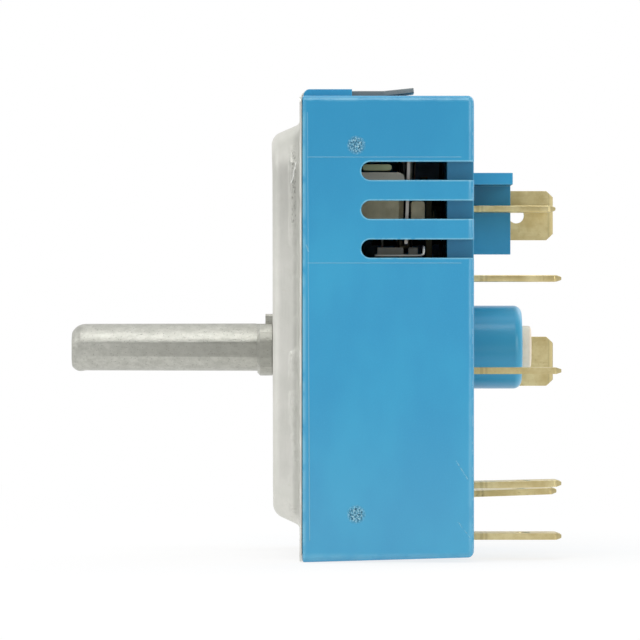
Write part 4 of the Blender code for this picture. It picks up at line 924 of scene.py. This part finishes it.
def make_plate():
    """The deep-drawn plate, with its holes and the lug that the calibrating screw passes."""
    face = PLATE_FACE
    neck, hole = shaft_hole()
    joins, cuts = [neck], [hole]
    for x in SCREW_HOLES:
        neck, *cutters = screw_hole(x)
        joins.append(neck)
        cuts += cutters
    calibrating_lug = block(x=(-13.0, -9.0), y=(face + 0.3, 0.65), z=(-16.85, -16.2), radius=0.3)
    joins.append(calibrating_lug)
    access = [(0.6, -17.5), (0.6, -15.5)]
    cuts.append(lathe(access, axis="Z", centre=(-11.0, -0.55), segments=32))
    return made("drawn_plate", plate_shape(), "zinc_steel", "root", [], joins, cuts, 0.06)


def ribbon(path, middle, width, thickness, edge):
    """A strip along a path of (y, z): its section, a soft rectangle, stands across the path."""
    half, rows = thickness / 2, []
    for point, across, wide in zip(path, normals(path), np.broadcast_to(width, len(path))):
        section = soft_box(-wide / 2, wide / 2, -half, half, edge, 3)
        rows.append(lay(point + section[:, 1:] * across, "X", middle + section[:, 0]))
    return skin(rows)


def make_tongue():
    """The plate's earthing tongue: folded over the rim, along the top, then lifted at its end."""
    root, end, lift = 0.15, 13.7, 0.4
    top = TOP + SEAT + SHEET / 2
    path = [(root, TOP - 1.2), (root, top), (TONGUE_BEND, top), (end, top + lift)]
    run = rounded(path, 0.45)
    full_width, end_width = 6.3, 5.4
    width = np.full(len(run), full_width)
    width[-1] = end_width
    shape = ribbon(run, TONGUE_MIDDLE, width, thickness=0.64, edge=0.1)
    return made("earth_tongue", shape, "zinc_steel", "root", ["front_plate"])


def shaft_profile():
    """The turned shaft's (radius, y): its tip, a shank that widens slightly, collar and inner end.

    The tip swells as r(s) = tip + (swell - tip) (1 - (1 - s / run) ** 3.4).
    """
    tip, swell, run, end = 1.95, 2.95, 2.2, SHAFT_TIP
    full, (wide, front, back) = SHAFT_RADIUS, COLLAR
    s = run * np.linspace(0, 1, 17) ** 1.6
    swelling = tip + (swell - tip) * (1 - (1 - s / run) ** 3.4)
    shank = zip(np.linspace(swell, full, 12), np.linspace(end + 0.1 + run, -6.0, 12))
    return [(0.4, end), (1.75, end), *zip(swelling, end + 0.05 + s), *shank,
            (full, front), (wide - 0.35, front), (wide, front + 0.34),
            (wide, back - 0.12), (wide - 0.1, back), (full, back),
            (full, INNER_FLAT - 0.05), (full, INNER_FLAT + 0.05), (full, SHAFT_END)]


def make_shaft():
    """The cast shaft: r(t, y), t round +X, is the turned radius, capped by flats.

    It is fuller below by a dip that fades over the first 1.7 mm. The caps are the drive flat on
    -X, the die's narrow land on +X, turned down by LAND_TURN, and the collar's level top.
    """
    full, (_, front, back) = SHAFT_RADIUS, COLLAR
    t = np.arange(180) * 2 * math.pi / 180
    caps = {"west": -np.cos(t), "east": np.cos(t + math.radians(LAND_TURN)), "north": np.sin(t)}
    rows = []
    for radius, y in shaft_profile():
        fading = np.clip((y - DRIVE_FLAT_END) / RUN_OUT, 0, 1) if y < INNER_FLAT else 0.0
        limits = {"west": DRIVE_FLAT + (full - DRIVE_FLAT) * fading,
                  "east": LAND * radius if y < back + 0.08 else UNCUT,
                  "north": 2.955 if front - 0.16 < y < back + 0.08 else UNCUT}
        dip = 0.55 * max(0.0, 1.0 - (y - SHAFT_TIP) / 1.7)
        reach = radius + dip * np.clip(-np.sin(t), 0, 1)
        for side, toward in caps.items():
            capped = np.minimum(reach, limits[side] / np.maximum(toward, 0.1))
            reach = np.where(toward > 0.1, capped, reach)
        rows.append(np.stack([reach * np.cos(t), np.full(len(t), y), reach * np.sin(t)], axis=1))
    across, along, upright = NUB
    nub = prism(soft_box(*across, *upright, 0.3, 5), "Y", *along)
    return made("cast_shaft", skin(rows), "die_cast", "knob_shaft", ["shaft"], [nub])


def make_bracket():
    """The stack's bracket: a shelf, its lip at the back and two low folds along the near side."""
    sheet, width, depth, height = 0.3, 5.5, 6.0, 1.1
    middle, corner = SHELF + sheet / 2, BRACKET_BACK - sheet / 2
    path = rounded([(corner - depth, middle), (corner, middle), (corner, middle + height)], 0.4)
    across, upright = (BRACKET_NEAR - sheet, BRACKET_NEAR), (SHELF + 0.02, SHELF + height)
    folds = [block(across, (BRACKET_BACK - start, BRACKET_BACK - end), upright, 0.05)
             for start, end in ((5.9, 2.65), (2.05, 0.9))]
    shape = ribbon(path, BRACKET_NEAR - width / 2, width, sheet, 0.05)
    return made("folded_bracket", shape, "zinc_steel", "root", ["stack_bracket"], folds, edge=0.04)


def make_clip():
    """The heater's clip: a bar with rounded ends, lying across the carrier's top."""
    length, height, width = (7.4, 11.0), (21.84, 22.62), (13.3, 17.6)
    shape = prism(soft_box(*length, *height, 0.36, 6), "X", *width)
    return made("clip_bar", shape, "brass", "root", ["heater_clip"], edge=0.04)


def make_winding():
    """The heater, a flat wire wound round the sleeve: P(t) = (a + b t, the outline at turn t).

    The strip that it is wound on leans, so y grows with z. The wire's flat side faces outwards.
    """
    turns, wide, thick, reach = 12, 0.85, 0.2, 8.0
    plane, low, high, lean = 12.95, 12.8, 24.4, 0.035
    half, over, corner = 0.93, 0.75, 0.6
    outline = soft_box(plane - half, plane + half, low - over, high + over, corner, 6)
    outline = np.concatenate([outline, outline[:1]])
    steps = np.linalg.norm(np.diff(outline, axis=0), axis=1)
    arc_length = np.concatenate([[0], np.cumsum(steps)])
    t = np.linspace(0, turns, turns * 40 + 1)
    run = (t % 1) * arc_length[-1]
    y = np.interp(run, arc_length, outline[:, 0])
    z = np.interp(run, arc_length, outline[:, 1])
    x = -reach + 2 * reach * t / turns
    y = y + (z - (low + high) / 2) * lean
    path = np.stack([x, y, z], axis=1)
    tangent = unit(np.gradient(path, axis=0))
    centre = np.stack([x, plane + (z - (low + high) / 2) * lean, np.clip(z, low, high)], axis=1)
    outward = path - centre
    outward = unit(outward - tangent * np.sum(outward * tangent, axis=1)[:, None])
    across = np.cross(tangent, outward)
    section = soft_box(-wide / 2, wide / 2, -thick / 2, thick / 2, 0.08, 2)
    rows = [point + section[:, :1] * along + section[:, 1:] * out
            for point, along, out in zip(path, across, outward)]
    return made("wound_heater", skin(rows), "resistance_wire", "bimetal", ["heater_winding"])


def pale_floor():
    """A pale floor that cameras and reflections see nearly white, with the switch's shadow kept."""
    look = Look("pale_floor")
    shader = look.node("ShaderNodeBsdfDiffuse", {}, {"Color": (0.9, 0.9, 0.9, 1.0)})
    glow = look.node("ShaderNodeEmission", {}, {"Color": WHITE, "Strength": 1.0})
    seen = sum(look.rays("Camera", "Glossy", "Transmission")).at_most(1.0)
    away = distance(look.x, look.y).ramp(60.0, 260.0)
    share = (seen * (FLOOR_GLOW + (1.0 - FLOOR_GLOW) * away)).at_least(FLOOR_LIGHT)
    inputs = {0: share, 1: shader.outputs[0], 2: glow.outputs[0]}
    mixed = look.node("ShaderNodeMixShader", {}, inputs)
    out = next(node for node in look.tree.nodes if node.type == "OUTPUT_MATERIAL")
    look.tree.links.new(mixed.outputs[0], out.inputs["Surface"])
    return look.material


def make_floor():
    bpy.ops.mesh.primitive_plane_add(size=6.0)
    floor = bpy.context.object
    floor.name = "floor"
    floor.data.materials.append(pale_floor())


def make_sweep():
    """A world that is white behind the switch and dim on the camera's side."""
    world = bpy.data.worlds.new("studio")
    bpy.context.scene.world = world
    nodes = Nodes(world)
    camera, transmission = nodes.rays("Camera", "Transmission")
    generated = nodes.node("ShaderNodeTexCoord").outputs["Generated"]
    way = nodes.node("ShaderNodeSeparateXYZ", {}, {0: generated})
    limits = {"Value": way.outputs["X"], "From Min": 0.45, "From Max": -0.35,
              "To Min": DIM, "To Max": BRIGHT}
    sweep = nodes.number("ShaderNodeMapRange", {"interpolation_type": "SMOOTHSTEP"}, limits)
    level = camera.at_least(transmission).at_least(sweep)
    background = nodes.tree.nodes["Background"]
    background.inputs["Color"].default_value = WHITE
    nodes.tree.links.new(level.socket, background.inputs["Strength"])


def aim(thing, target):
    """Turns a lamp so that it shines at the target."""
    x, y, z = np.array(target) - np.array(thing.location)
    tilt = math.atan2(z, math.hypot(x, y))
    thing.rotation_euler = (math.pi / 2 + tilt, 0.0, math.atan2(-x, y))


def make_lamps():
    for name, (place, size, power) in LAMPS.items():
        data = bpy.data.lights.new(name, "AREA")
        data.shape = "RECTANGLE"
        data.size, data.size_y = size
        data.energy = power
        lamp = placed(name, data)
        lamp.location = place
        aim(lamp, LAMP_TARGET)


def make_camera():
    """The photograph's camera: square on to the vented side, from +X."""
    data = bpy.data.cameras.new("camera")
    data.sensor_width = SENSOR
    data.lens = SENSOR * VIEW_DISTANCE * PIXELS_PER_MM / PICTURE
    data.clip_start = 0.01
    camera = placed("camera", data)
    camera.location = metres((VIEW_DISTANCE, *VIEW_CENTRE))
    camera.rotation_euler = (math.pi / 2, 0.0, math.pi / 2)
    bpy.context.scene.camera = camera


def dress_solids():
    """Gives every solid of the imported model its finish."""
    LOOKS.update(
        blue_moulding=blue_moulding(), cream_moulding=cream_moulding(), zinc_steel=plated_steel(),
        die_cast=cast_zinc(), brass=sheet_brass(), grey_ceramic=fired_ceramic(),
        spring_steel=spring_metal(), silver=silver_face(), resistance_wire=oxidised_wire(),
    )
    for node, slot in SLOTS.items():
        materials = frame["nodes"][node].data.materials
        materials.clear()
        materials.append(LOOKS[slot])


def main():
    dress_solids()
    make_case()
    make_plate()
    make_tongue()
    make_shaft()
    make_winding()
    make_bracket()
    make_clip()
    for node, edge in EASED.items():
        softened(node, edge)
    make_floor()
    make_sweep()
    make_lamps()
    make_camera()
    bpy.context.scene.view_settings.view_transform = "Standard"


main()
